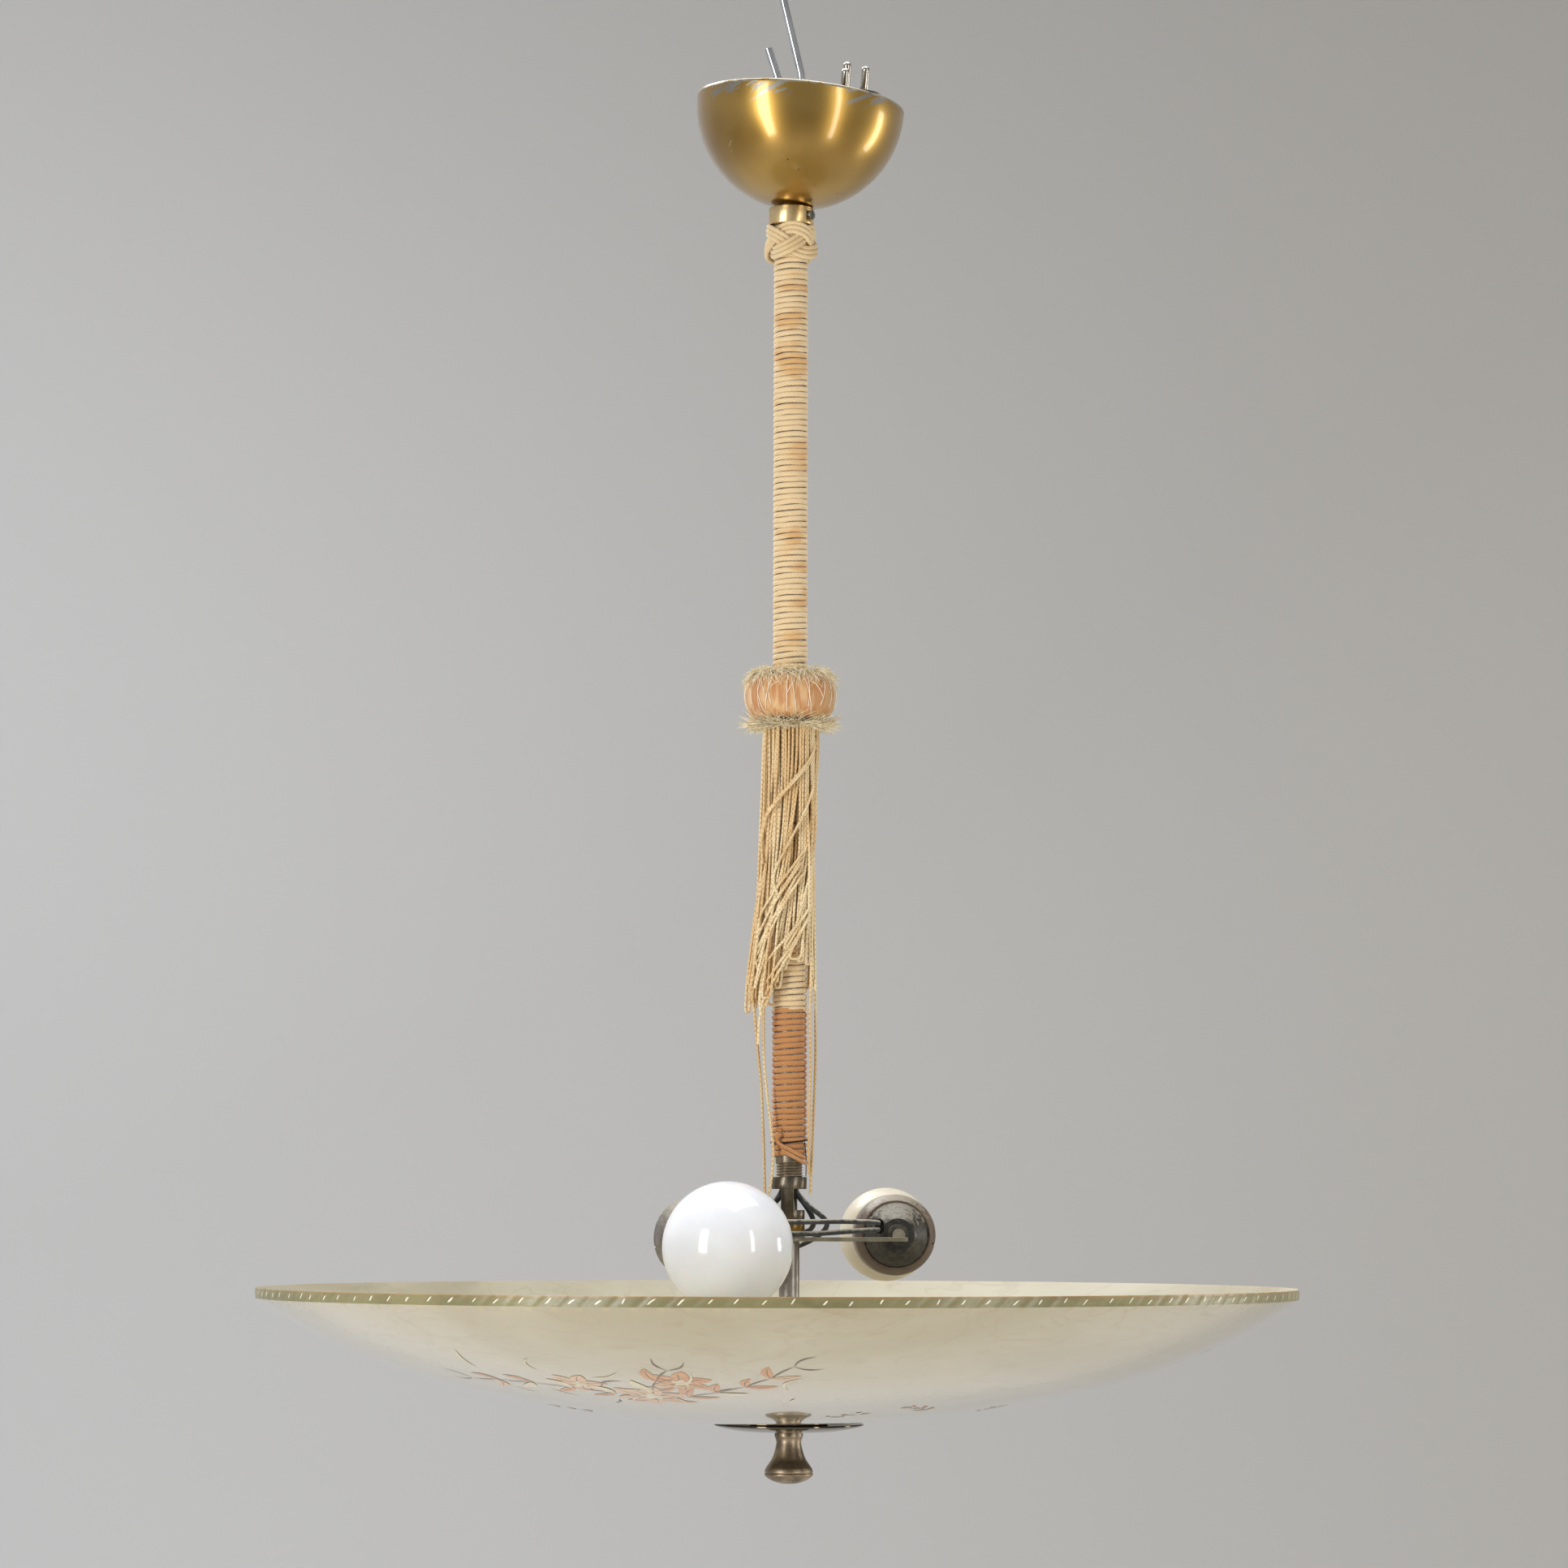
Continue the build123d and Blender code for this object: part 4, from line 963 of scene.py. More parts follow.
@dataclass(frozen=True)
class Cable:
    """A free cord along the route of its solid.

    Attributes:
        node: The CAD node that it stands for.
        route: Points of the route, in millimetres.
        length: Real length in millimetres; not used.
        azimuth: Turn of the whole route round the stem, in degrees.
        diameter: Thickness in millimetres.
        far_end: What its far end meets; not used.
        slot: Name of a material slot; not used.
        lay: How it lies; not used.
    """

    node: str
    route: tuple[Point, ...]
    length: float
    azimuth: float = 0.0
    diameter: float = 2.6
    far_end: str = "object"
    slot: str = "dark_textile"
    lay: str = "loose"

    def places(self) -> list[Vector]:
        """The route's points in metres."""
        turn = Matrix.Rotation(math.radians(self.azimuth), 3, "Z")
        return [at(*(turn @ Vector(p))) for p in self.route]

    def build(self, finish: bpy.types.Material) -> bpy.types.Object:
        curve = bpy.data.curves.new(self.node + "_cord", "CURVE")
        curve.dimensions = "3D"
        line = curve.splines.new("NURBS")
        places = self.places()
        line.points.add(len(places) - 1)
        for point, place in zip(line.points, places):
            point.co = (*place, 1.0)
        line.order_u = 3
        line.use_endpoint_u = True
        line.resolution_u = 8
        curve.bevel_depth = self.diameter / 2 * MM
        curve.bevel_resolution = 3
        curve.use_fill_caps = True
        curve.materials.append(finish)
        obj = bpy.data.objects.new(self.node + "_cord", curve)
        bpy.context.scene.collection.objects.link(obj)
        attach(obj, "stem")
        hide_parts(self.node)
        return obj


@dataclass(frozen=True)
class Strand(Cable):
    """A long tassel cord that hangs free."""

    diameter: float = 1.3
    far_end: str = "bare"
    slot: str = "straw_cord"
    lay: str = "hanging"


FEED_WIRES = (
    Cable(
        "feed_wire_right_upper",
        (
            (-1.1, 2.0, 149.5), (-1.1, 2.0, 139.5), (-8.3, 4.7, 131.2), (-16.5, 5.2, 127.0),
            (-22.5, -0.5, 125.2), (-22.0, -9.5, 124.4), (-15.5, -16.5, 124.0), (-6.0, -19.0, 124.0),
            (4.0, -17.5, 124.0), (13.5, -13.0, 124.1), (22.5, -8.0, 124.3), (31.5, -3.0, 124.2),
            (39.5, 3.5, 123.9), (43.9, 11.5, 123.5), (44.3, 17.5, 123.4),
        ),
        131.7,
        3.5,
    ),
    Cable(
        "feed_wire_right_lower",
        (
            (-2.0, -1.1, 149.5), (-2.0, -1.1, 139.5), (-9.2, 0.6, 131.0), (-13.8, -3.0, 123.2),
            (-12.9, -10.7, 119.3), (-6.6, -15.8, 118.5), (2.6, -16.2, 118.3), (11.6, -13.0, 118.4),
            (20.8, -8.6, 119.0), (29.8, -4.2, 119.6), (38.2, 1.6, 120.1), (43.4, 9.4, 120.2),
            (44.3, 17.5, 120.2),
        ),
        112.4,
        3.5,
    ),
    Cable(
        "feed_wire_left_upper",
        (
            (-2.0, -1.1, 149.5), (-2.0, -1.1, 139.5), (-9.1, 0.6, 130.8), (-13.5, -2.9, 123.7),
            (-13.3, -10.8, 119.7), (-7.6, -16.6, 119.0), (2.6, -16.2, 119.8), (11.6, -13.0, 120.8),
            (20.8, -8.6, 121.8), (29.8, -4.2, 122.8), (38.2, 1.6, 123.2), (43.4, 9.4, 123.2),
            (44.3, 17.5, 123.2),
        ),
        113.1,
        195.0,
    ),
    Cable(
        "feed_wire_left_lower",
        (
            (-1.1, 2.0, 149.5), (-1.1, 2.0, 139.5), (-8.4, 4.4, 131.4), (-15.8, 3.4, 126.6),
            (-20.4, -3.2, 122.6), (-18.8, -11.0, 118.0), (-12.6, -16.6, 113.6), (-4.0, -18.6, 110.6),
            (5.0, -18.0, 110.0), (13.4, -15.4, 112.2), (21.2, -11.6, 115.6), (29.0, -7.2, 118.4),
            (36.4, -1.4, 119.6), (42.2, 6.2, 120.0), (44.3, 17.5, 120.0),
        ),
        132.2,
        195.0,
    ),
)

PLUG_LEAD = Cable(
    "plug_lead",
    (
        (0, 0, 646.0), (0, 0, 655.0), (-4.0, 0, 662.0), (-11.0, 0.4, 666.0), (-19.6, 2.0, 665.6),
        (-27.0, 6.0, 660.4), (-31.0, 12.6, 653.0), (-29.6, 20.0, 645.4), (-22.6, 25.6, 639.4),
        (-12.6, 29.0, 635.2), (-1.6, 30.8, 632.6), (9.6, 31.1, 631.3), (18.6, 29.2, 632.4),
        (24.5, 26.6, 635.6), (27.8, 23.3, 640.8), (28.5, 20.2, 649.2),
    ),
    140.5,
    diameter=3.5,
)

LONG_STRANDS = (
    Strand(
        "strand_left_outer",
        (
            (-16.8, -3.5, 224.6), (-15.4, -4.4, 207.0), (-13.4, -5.2, 190.0), (-12.6, -4.8, 171.0),
            (-12.0, -5.2, 152.0), (-11.4, -4.6, 134.0),
        ),
        90.8,
    ),
    Strand(
        "strand_left_inner",
        (
            (-12.4, -6.6, 224.6), (-12.6, -7.6, 206.0), (-11.2, -8.6, 188.0), (-8.6, -9.6, 169.0),
            (-7.0, -10.2, 152.0), (-9.6, -9.4, 137.0),
        ),
        88.1,
    ),
    Strand(
        "strand_right_outer",
        (
            (12.4, -2.0, 224.6), (12.6, -3.0, 204.0), (11.8, -2.6, 182.0), (11.0, -3.2, 160.0),
            (10.0, -2.8, 137.0),
        ),
        87.7,
    ),
    Strand(
        "strand_right_inner",
        (
            (9.6, -5.4, 224.6), (10.2, -6.2, 203.0), (9.6, -5.8, 182.0), (9.4, -6.2, 163.0),
            (9.2, -5.6, 146.5),
        ),
        78.1,
    ),
)


# Studio


@dataclass
class Studio:
    """Camera, paper backdrop and soft lights.

    Attributes:
        focal: Focal length in millimetres.
        pitch: How far the camera looks up, in degrees.
        roll: Its turn about the line of sight, in degrees.
        camera_x: Its place across, in millimetres.
        camera_height: Its height above the finial's tip.
        distance: Its distance in front of the lamp.
        floor: Height of the floor in metres.
        air: Strength of the light from all round.
    """

    focal: float = 109.94
    pitch: float = 5.1
    roll: float = 0.12
    camera_x: float = -2.9
    camera_height: float = 128.97
    distance: float = 2296.0
    floor: float = -1.75
    air: float = 0.62

    def camera(self) -> None:
        """Set the camera where the photograph was taken."""
        data = bpy.data.cameras.new("portrait")
        data.lens = self.focal
        data.sensor_width = 36
        data.clip_end = 50
        camera = bpy.data.objects.new("portrait", data)
        camera.location = at(self.camera_x, -self.distance, self.camera_height)
        aim = Matrix.Rotation(math.radians(90 + self.pitch), 4, "X")
        camera.rotation_euler = (aim @ Matrix.Rotation(math.radians(self.roll), 4, "Z")).to_euler()
        bpy.context.scene.collection.objects.link(camera)
        bpy.context.scene.camera = camera

    def backdrop(self) -> None:
        """Floor that curves up into a wall behind the lamp and stays open in front."""
        profile = [(0.01, 0), (2.4, 0), (3.2, 0.03), (3.9, 0.25), (4.3, 0.75), (4.45, 1.75), (4.5, 5.1)]
        line = spline([Vector((r, z, 0)) for r, z in profile], 6)
        segments = 96
        vertices = []
        for p in line:
            for k in range(segments):
                angle = FULL_TURN * k / segments
                share = min(1.0, max(0.0, 0.75 + 1.1 * math.sin(angle)))
                lift = p.y * share * share * (3 - 2 * share)
                vertices.append(polar(p.x, angle, self.floor + lift))
        faces = [
            (i * segments + k, i * segments + (k + 1) % segments,
             (i + 1) * segments + (k + 1) % segments, (i + 1) * segments + k)
            for i in range(len(line) - 1)
            for k in range(segments)
        ]
        mesh = bpy.data.meshes.new("studio_paper")
        mesh.from_pydata(vertices, [], faces)
        mesh.shade_smooth()
        mesh.materials.append(Backdrop().material())
        paper = bpy.data.objects.new("studio_paper", mesh)
        bpy.context.scene.collection.objects.link(paper)

    def light(
        self, name: str, place: Point, size: tuple[float, float], power: float, warmth: Point
    ) -> None:
        """Add one softbox that faces the lamp.

        Args:
            name: Its name.
            place: Where it stands, in metres.
            size: Width and height in metres.
            power: Watts.
            warmth: Its colour.
        """
        data = bpy.data.lights.new(name, "AREA")
        data.shape = "RECTANGLE"
        data.size, data.size_y = size
        data.energy = power
        data.color = warmth
        lamp = bpy.data.objects.new(name, data)
        lamp.location = place
        aim = Vector((0, 0, -0.4)) - Vector(place)
        lamp.rotation_euler = aim.to_track_quat("-Z", "Y").to_euler()
        bpy.context.scene.collection.objects.link(lamp)

    def build(self) -> None:
        """Light the lamp softly from the front left, the right and above."""
        self.backdrop()
        self.light("key_window", (-1.36, -1.52, -0.62), (0.5, 2.2), 31, (1.0, 0.99, 0.97))
        self.light("front_strip", (1.28, -1.38, -0.66), (0.2, 2.1), 12, (1.0, 0.98, 0.95))
        self.light("side_strip", (2.75, 0.6, -0.9), (0.5, 1.6), 16, (1.0, 0.99, 0.97))
        self.light("top_panel", (0.2, 0.3, 2.2), (2.6, 2.6), 68, (1.0, 1.0, 1.0))
        self.light("back_wash", (-1.2, 1.6, 1.5), (1.6, 0.8), 52, (1.0, 1.0, 1.0))
        world = bpy.data.worlds.new("studio_air")
        world.use_nodes = True
        background = world.node_tree.nodes["Background"]
        background.inputs["Color"].default_value = tone("#C8C9CA")
        background.inputs["Strength"].default_value = self.air
        bpy.context.scene.world = world
        bpy.context.scene.view_settings.view_transform = "Standard"


# The lamp's pieces


@dataclass
class Bowl:
    """Opal glass bowl with a nicked rim.

    Attributes:
        pole: Height of the outer face at the axis.
        radius: Radius at the rim.
        crown: Radius of the flat arc at the bottom.
        crown_reach: Distance from the axis at which that arc ends.
        shoulder: Radius of the arc that follows.
        wall: Thickness of the glass.
        hole: Radius of the hole for the rod.
        nick_steps: Divisions for each nick.
        nick_depth: Depth of a nick.
    """

    pole: float = 28.0
    radius: float = 247.7
    crown: float = 642.0
    crown_reach: float = 152.9
    shoulder: float = 302.6
    wall: float = 4.0
    hole: float = 10.9
    nick_steps: int = 8
    nick_depth: float = 0.4

    @property
    def turn(self) -> float:
        """Lean of the glass where the flat crown meets the shoulder."""
        return math.asin(self.crown_reach / self.crown)

    @property
    def shoulder_middle(self) -> tuple[float, float]:
        """Radius and height of the middle of the shoulder's arc."""
        back = self.crown - self.shoulder
        return back * math.sin(self.turn), self.pole + self.crown - back * math.cos(self.turn)

    def side(self, inset: float) -> Profile:
        """Profile of one face of the glass, from the hole to the rim.

        Args:
            inset: How far it lies inside the outer face.
        Returns:
            Radius and height of each ring.
        """
        crown, shoulder = self.crown - inset, self.shoulder - inset
        middle = self.shoulder_middle
        start = math.asin(self.hole / crown)
        end = math.asin((self.radius - middle[0]) / shoulder)
        flat = arc((0, self.pole + self.crown), crown, start, self.turn, 15)
        return flat + arc(middle, shoulder, self.turn, end, 18)[1:]

    def outside(self, radius: float, angle: float, proud: float) -> Vector:
        """Point just off the outer face.

        Args:
            radius: Distance from the axis.
            angle: Bearing in radians.
            proud: Distance off the glass.
        Returns:
            The point, in millimetres.
        """
        if radius <= self.crown_reach:
            lean = math.asin(radius / self.crown)
            height = self.pole + self.crown - self.crown * math.cos(lean)
        else:
            reach, level = self.shoulder_middle
            lean = math.asin((radius - reach) / self.shoulder)
            height = level - self.shoulder * math.cos(lean)
        r = radius + proud * math.sin(lean)
        x, y = BOWL_SHIFT + r * math.cos(angle), r * math.sin(angle)
        return Vector((x, y, height - proud * math.cos(lean)))

    def build(self) -> None:
        """Turn both faces and the nicked rim as one closed glass."""
        outer, inner = self.side(0.0), self.side(self.wall)
        low, high = outer[-1], inner[-1]
        levels = 7
        rim = []
        for level in range(1, levels):
            t = level / levels
            bulge = 0.5 * math.sin(math.pi * t)
            rim.append((self.radius - 0.3 + bulge, low[1] + (high[1] - low[1]) * t))
        profile = outer + rim + inner[::-1]
        first, last = len(outer) - 1, len(outer) + len(rim)
        top = high[1] - low[1]

        def nick(angle: float, ring: int, r: float, h: float) -> tuple[float, float]:
            """Press the diagonal nicks into the rim's band."""
            if not first <= ring <= last:
                return r, h
            t = (h - low[1]) / top
            number = angle * BOWL_NICKS / FULL_TURN
            wobble = noise.noise(Vector((math.floor(number) * 1.7, 3.1, 0))) * 0.1
            across = number % 1 - 0.5 - (t - 0.5) * 0.42 - wobble
            press = math.exp(-((across / 0.13) ** 2)) * (0.55 + 0.45 * math.sin(math.pi * t))
            lift = math.exp(-(((across - 0.2) / 0.1) ** 2)) * 0.25
            return r - self.nick_depth * press - 0.25 + lift * 0.4, h

        slots = [0] * first + [2] * (last - first) + [1] * (len(inner) - 1) + [1]
        skin = Skin("glass_bowl_shell")
        place = Matrix.Translation((BOWL_SHIFT, 0, 0))
        lathe(skin, profile, BOWL_NICKS * self.nick_steps, True, place, slots, nick)
        skin.piece(
            [
                BowlGlass(BowlFace.OUTSIDE, "#BDB49A", "#B3A98C", "#A59271").material(),
                BowlGlass(BowlFace.INSIDE, "#B0A992", "#9C947B", "#857D62", 0.6).material(),
                BowlGlass(BowlFace.RIM, "#938D66", "#7E7954", "#6B6743", 0.32, 0.2).material(),
            ],
            "bowl",
            ["glass_bowl"],
            60,
        )


class Tint(Enum):
    """Colours of the painted sprays, by finish number."""

    ORANGE = 0
    PEACH = 1
    BROWN = 2
    CREAM = 3


@dataclass
class PaintedSprays:
    """Generic sprays of leaves, blossoms and tendrils painted under the bowl.

    Attributes:
        bowl: The glass that carries them.
        proud: Distance of the paint off the glass.
        blossoms: Outward shift, turn, reach and tint of a bouquet's blossoms.
        bouquets: How many bouquets go round the bowl.
        bouquet_radius: Distance of their roots from the axis.
        first_bearing: Bearing of the first, in degrees.
    """

    bowl: Bowl
    proud: float = 0.12
    blossoms: tuple[tuple[float, float, float, Tint], ...] = (
        (6, 0.0, 19, Tint.PEACH),
        (30, 0.13, 15, Tint.ORANGE),
        (26, -0.16, 14, Tint.PEACH),
    )
    bouquets: int = 3
    bouquet_radius: float = 148
    first_bearing: float = -111

    def stroke(
        self,
        skin: Skin,
        root: tuple[float, float],
        heading: float,
        size: tuple[float, float],
        tint: Tint,
        bend: float = 0.1,
    ) -> tuple[float, float]:
        """Lay one pointed brush stroke on the glass.

        Args:
            skin: Where it goes.
            root: Radius in millimetres and bearing in radians of its root.
            heading: Direction on the glass, in radians; 0 runs round the bowl.
            size: Length and greatest width in millimetres.
            tint: Its colour.
            bend: Sideways bow as a share of the length.
        Returns:
            Radius and bearing of its tip.
        """
        rows, vertices, faces = 12, [], []
        tip = root
        for i in range(rows + 1):
            t = i / rows
            half = size[1] / 2 * math.sin(math.pi * min(1.0, 0.04 + t * 0.96)) ** 0.8
            for side in (-1, 0, 1):
                along = size[0] * t
                across = half * side + bend * size[0] * math.sin(math.pi * t)
                s = along * math.cos(heading) - across * math.sin(heading)
                u = along * math.sin(heading) + across * math.cos(heading)
                spot = (root[0] + u, root[1] + s / root[0])
                if side == 0:
                    tip = spot
                vertices.append(at(*self.bowl.outside(*spot, self.proud + 0.03 * tint.value)))
        for i in range(rows):
            for k in range(2):
                a = i * 3 + k
                faces.append((a, a + 1, a + 4, a + 3))
        skin.add(vertices, faces, tint.value)
        return tip

    def blossom(self, skin: Skin, centre: tuple[float, float], reach: float, tint: Tint) -> None:
        """Paint six petals, each with a fine dark line, round a cream heart."""
        for petal in range(6):
            way = petal * math.pi / 3 + centre[1]
            self.stroke(skin, centre, way, (reach, reach * 0.52), tint, 0.05)
            self.stroke(skin, centre, way + 0.12, (reach * 0.8, 0.5), Tint.BROWN, 0.05)
        for petal in range(5):
            self.stroke(skin, centre, petal * 1.26, (reach * 0.34, reach * 0.2), Tint.CREAM)

    def twig(
        self,
        skin: Skin,
        root: tuple[float, float],
        heading: float,
        joints: int,
        leaf: float,
        rng: random.Random,
    ) -> tuple[float, float]:
        """Paint one curved stem with its leaves.

        Args:
            skin: Where it goes.
            root: Radius and bearing of its root.
            heading: Direction of the stem.
            joints: How many pairs of leaves.
            leaf: Length of the largest leaves, in millimetres.
            rng: Source of variety.
        Returns:
            Radius and bearing of its tip.
        """
        spot, way, bow = root, heading, rng.choice((-0.16, 0.16))
        for joint in range(joints):
            for side in (-1, 1):
                lean = way + side * rng.uniform(0.5, 0.9)
                size = leaf * rng.uniform(0.75, 1.0) * (1 - 0.06 * joint)
                tint = rng.choice((Tint.ORANGE, Tint.ORANGE, Tint.PEACH, Tint.CREAM))
                self.stroke(skin, spot, lean, (size, size * 0.36), tint, 0.1 * side)
                self.stroke(skin, spot, lean, (size * 0.9, 0.45), Tint.BROWN, 0.1 * side)
            spot = self.stroke(skin, spot, way, (leaf * 0.9, 0.9), Tint.BROWN, 0.04)
            way += bow
        return spot

    def bouquet(self, skin: Skin, radius: float, bearing: float, rng: random.Random) -> None:
        """Paint a large spray: three blossoms, leafy twigs and loose tendrils."""
        root = (radius, bearing)
        for heading, joints in ((0.35, 5), (1.3, 3), (2.5, 5)):
            tip = self.twig(skin, root, heading + rng.uniform(-0.1, 0.1), joints, rng.uniform(16, 21), rng)
            for curl in (-0.5, 0.5):
                self.stroke(skin, tip, heading + curl, (14, 0.9), Tint.BROWN, 0.35 * curl)
        for out, turn, reach, tint in self.blossoms:
            self.blossom(skin, (radius + out, bearing + turn), reach, tint)
        for _ in range(16):
            start = (radius + rng.uniform(-12, 45), bearing + rng.uniform(-0.42, 0.42))
            tint = rng.choice((Tint.CREAM, Tint.BROWN, Tint.CREAM))
            heading, size = rng.uniform(0.2, 2.9), (rng.uniform(10, 22), 1.3)
            self.stroke(skin, start, heading, size, tint, rng.uniform(-0.3, 0.3))

    def build(self) -> None:
        """Paint three large sprays round the bowl and small sprigs lower down between them."""
        rng = random.Random(11)
        skin = Skin("painted_sprays")
        for index in range(self.bouquets):
            bearing = math.radians(self.first_bearing + index * 360 / self.bouquets)
            self.bouquet(skin, self.bouquet_radius, bearing, rng)
            for turn, radius in ((0.62, 96), (0.98, 118), (1.5, 104)):
                self.twig(skin, (radius, bearing + turn), rng.uniform(0.2, 2.6), 3, 8.5, rng)
        skin.piece(
            [
                Paint("paint_orange", "#C28A55", "#CE9A68").material(),
                Paint("paint_peach", "#CFA67C", "#D8B38C").material(),
                Paint("paint_brown", "#7E6048", "#67503C").material(),
                Paint("paint_cream", "#DDD3B4", "#D2C49E").material(),
            ],
            "bowl",
        )


@dataclass
class BottomFittings:
    """Bottom dish, finial knob, washers and the seat above the glass.

    Attributes:
        knob_length: Height of the knob, on which the dish rests.
        disc_radius: Radius of the dish.
        disc_rise: How far its edge turns up.
    """

    knob_length: float = 24.8
    disc_radius: float = 35.7
    disc_rise: float = 2.7

    def knob(self) -> None:
        """Turned finial with a fine line under its belly."""
        points = [
            (0.02, 0.0), (4.2, 0.35), (8.2, 1.6), (10.9, 3.4), (11.6, 4.6), (11.25, 5.3), (11.5, 5.9),
            (11.0, 7.4), (9.7, 9.3), (8.0, 12.0), (6.8, 15.2), (6.0, 18.6), (5.95, 20.2), (6.35, 21.6),
            (6.7, 22.4), (6.7, 24.2), (6.3, 24.78), (5.1, 24.8),
        ]
        skin = Skin("finial_turned")
        lathe(skin, bent(points, 5), 128)
        lathe(skin, [(5.0, 24.8), (5.0, 6.7), (0.02, 6.7)], 64)
        bronze = Metal("aged_bronze", "#A5957F", "#655A4C", 0.42, 90, 0.17, fleck_tone="#C0A06A")
        skin.piece([bronze.material()], "finial", ["finial_knob"], 50)

    def dish(self) -> None:
        """Thin dish with a polished underside and a rolled edge."""
        base, rise, edge = self.knob_length, self.disc_rise, self.disc_radius
        flat = [(5.15, base), (19.0, base)]
        curve = [(26, base + rise * 0.24), (31.5, base + rise * 0.6), (edge - 0.4, base + rise)]
        under = bent(flat + curve, 8)
        lip = [(edge, base + rise + 0.35), (edge, base + rise + 0.75), (edge - 0.4, base + rise + 1.0)]
        over = [(r, h + 1.0) for r, h in reversed(under)]
        skin = Skin("bottom_dish")
        lathe(skin, under + lip + over, 160, True)
        bronze = Metal("mirror_bronze", "#5F5443", "#483F30", 0.10, 40, 0.03, 0.0, "#B49A66", 0.004)
        skin.piece([bronze.material()], "bowl", ["bottom_disc"], 35)

    def build(self) -> None:
        """Make the visible fittings and finish the hidden ones."""
        self.knob()
        self.dish()
        rubber = Moulding("washer_rubber", "#2A2826", "#3A3733", 0.7).material()
        dress_nodes(("bowl_washer_lower", "bowl_washer_upper"), rubber, 0.3)
        plated = Metal("dull_plating", "#86827A", "#6B675F", 0.42, 80, dust=0.7).material()
        dress_nodes(("bowl_seat_cup", "bowl_lock_nut"), plated, 0.2)


@dataclass
class Hub:
    """Threaded pipe end, yoke, rod, nuts and the two-armed bar.

    Attributes:
        pipe_radius: Outer radius of the pipe.
        pipe_foot: Height of its foot.
        pipe_top: Height of its top.
        thread_foot: Height at which the thread starts.
        thread_top: Height at which it ends.
        pitch: Distance between its turns.
        thread_depth: Depth of the thread.
    """

    pipe_radius: float = 6.58
    pipe_foot: float = 140.0
    pipe_top: float = 648.0
    thread_foot: float = 140.6
    thread_top: float = 152.6
    pitch: float = 1.34
    thread_depth: float = 0.75

    def stem_tube(self) -> None:
        """Steel pipe with a cut thread at its foot."""
        rings = [self.pipe_foot + 0.001]
        height = self.thread_foot
        while height < self.thread_top:
            rings.append(height)
            height += self.pitch / 9
        rings += [self.thread_top + 0.8, self.thread_top + 1.2, self.pipe_top]

        def groove(angle: float, ring: int, r: float, h: float) -> tuple[float, float]:
            """Cut the thread."""
            if not self.thread_foot <= h <= self.thread_top:
                return r, h
            phase = ((h - self.thread_foot) / self.pitch - angle / FULL_TURN) % 1
            depth = self.thread_depth * (1 - abs(phase * 2 - 1)) ** 0.8
            fade = min(1.0, (self.thread_top - h) / 1.2)
            return r - depth * fade, h

        skin = Skin("threaded_pipe")
        outer = [(self.pipe_radius, h) for h in rings]
        bore = [(4.5, self.pipe_top), (4.5, self.pipe_foot)]
        lathe(skin, outer + bore, 72, True, shift=groove)
        steel = Metal("thread_steel", "#A0937F", "#7A6F60", 0.45, 120, 0.10, 0.5, "#BDB29C")
        skin.piece([steel.material()], "stem", ["stem_tube"], 65)

    def build(self) -> None:
        """Make the pipe and finish the hub's nodes."""
        self.stem_tube()
        dark = Metal("dark_steel", "#736A5D", "#554E44", 0.33, 110, 0.06, fleck_tone="#B4A992").material()
        dress_nodes(["window_yoke"], dark, 0.3)
        rod = Metal("rod_steel", "#A79F98", "#857D74", 0.36, 90, 0.08, fleck_tone="#C4BCAF").material()
        dress_nodes(["lower_rod"], rod, 0.2)
        brass = Metal("hub_brass", "#8F7444", "#6A5432", 0.34, 90, 0.08).material()
        dress_nodes(["hub_brass_ring"], brass, 0.35)
        plated = Metal("arm_plating", "#A39C8B", "#857E6F", 0.45, 100, dust=1.0).material()
        nodes = ("hub_jam_nut", "arm_bar", "holder_stud_right", "holder_stud_left")
        dress_nodes(nodes, plated, 0.25)


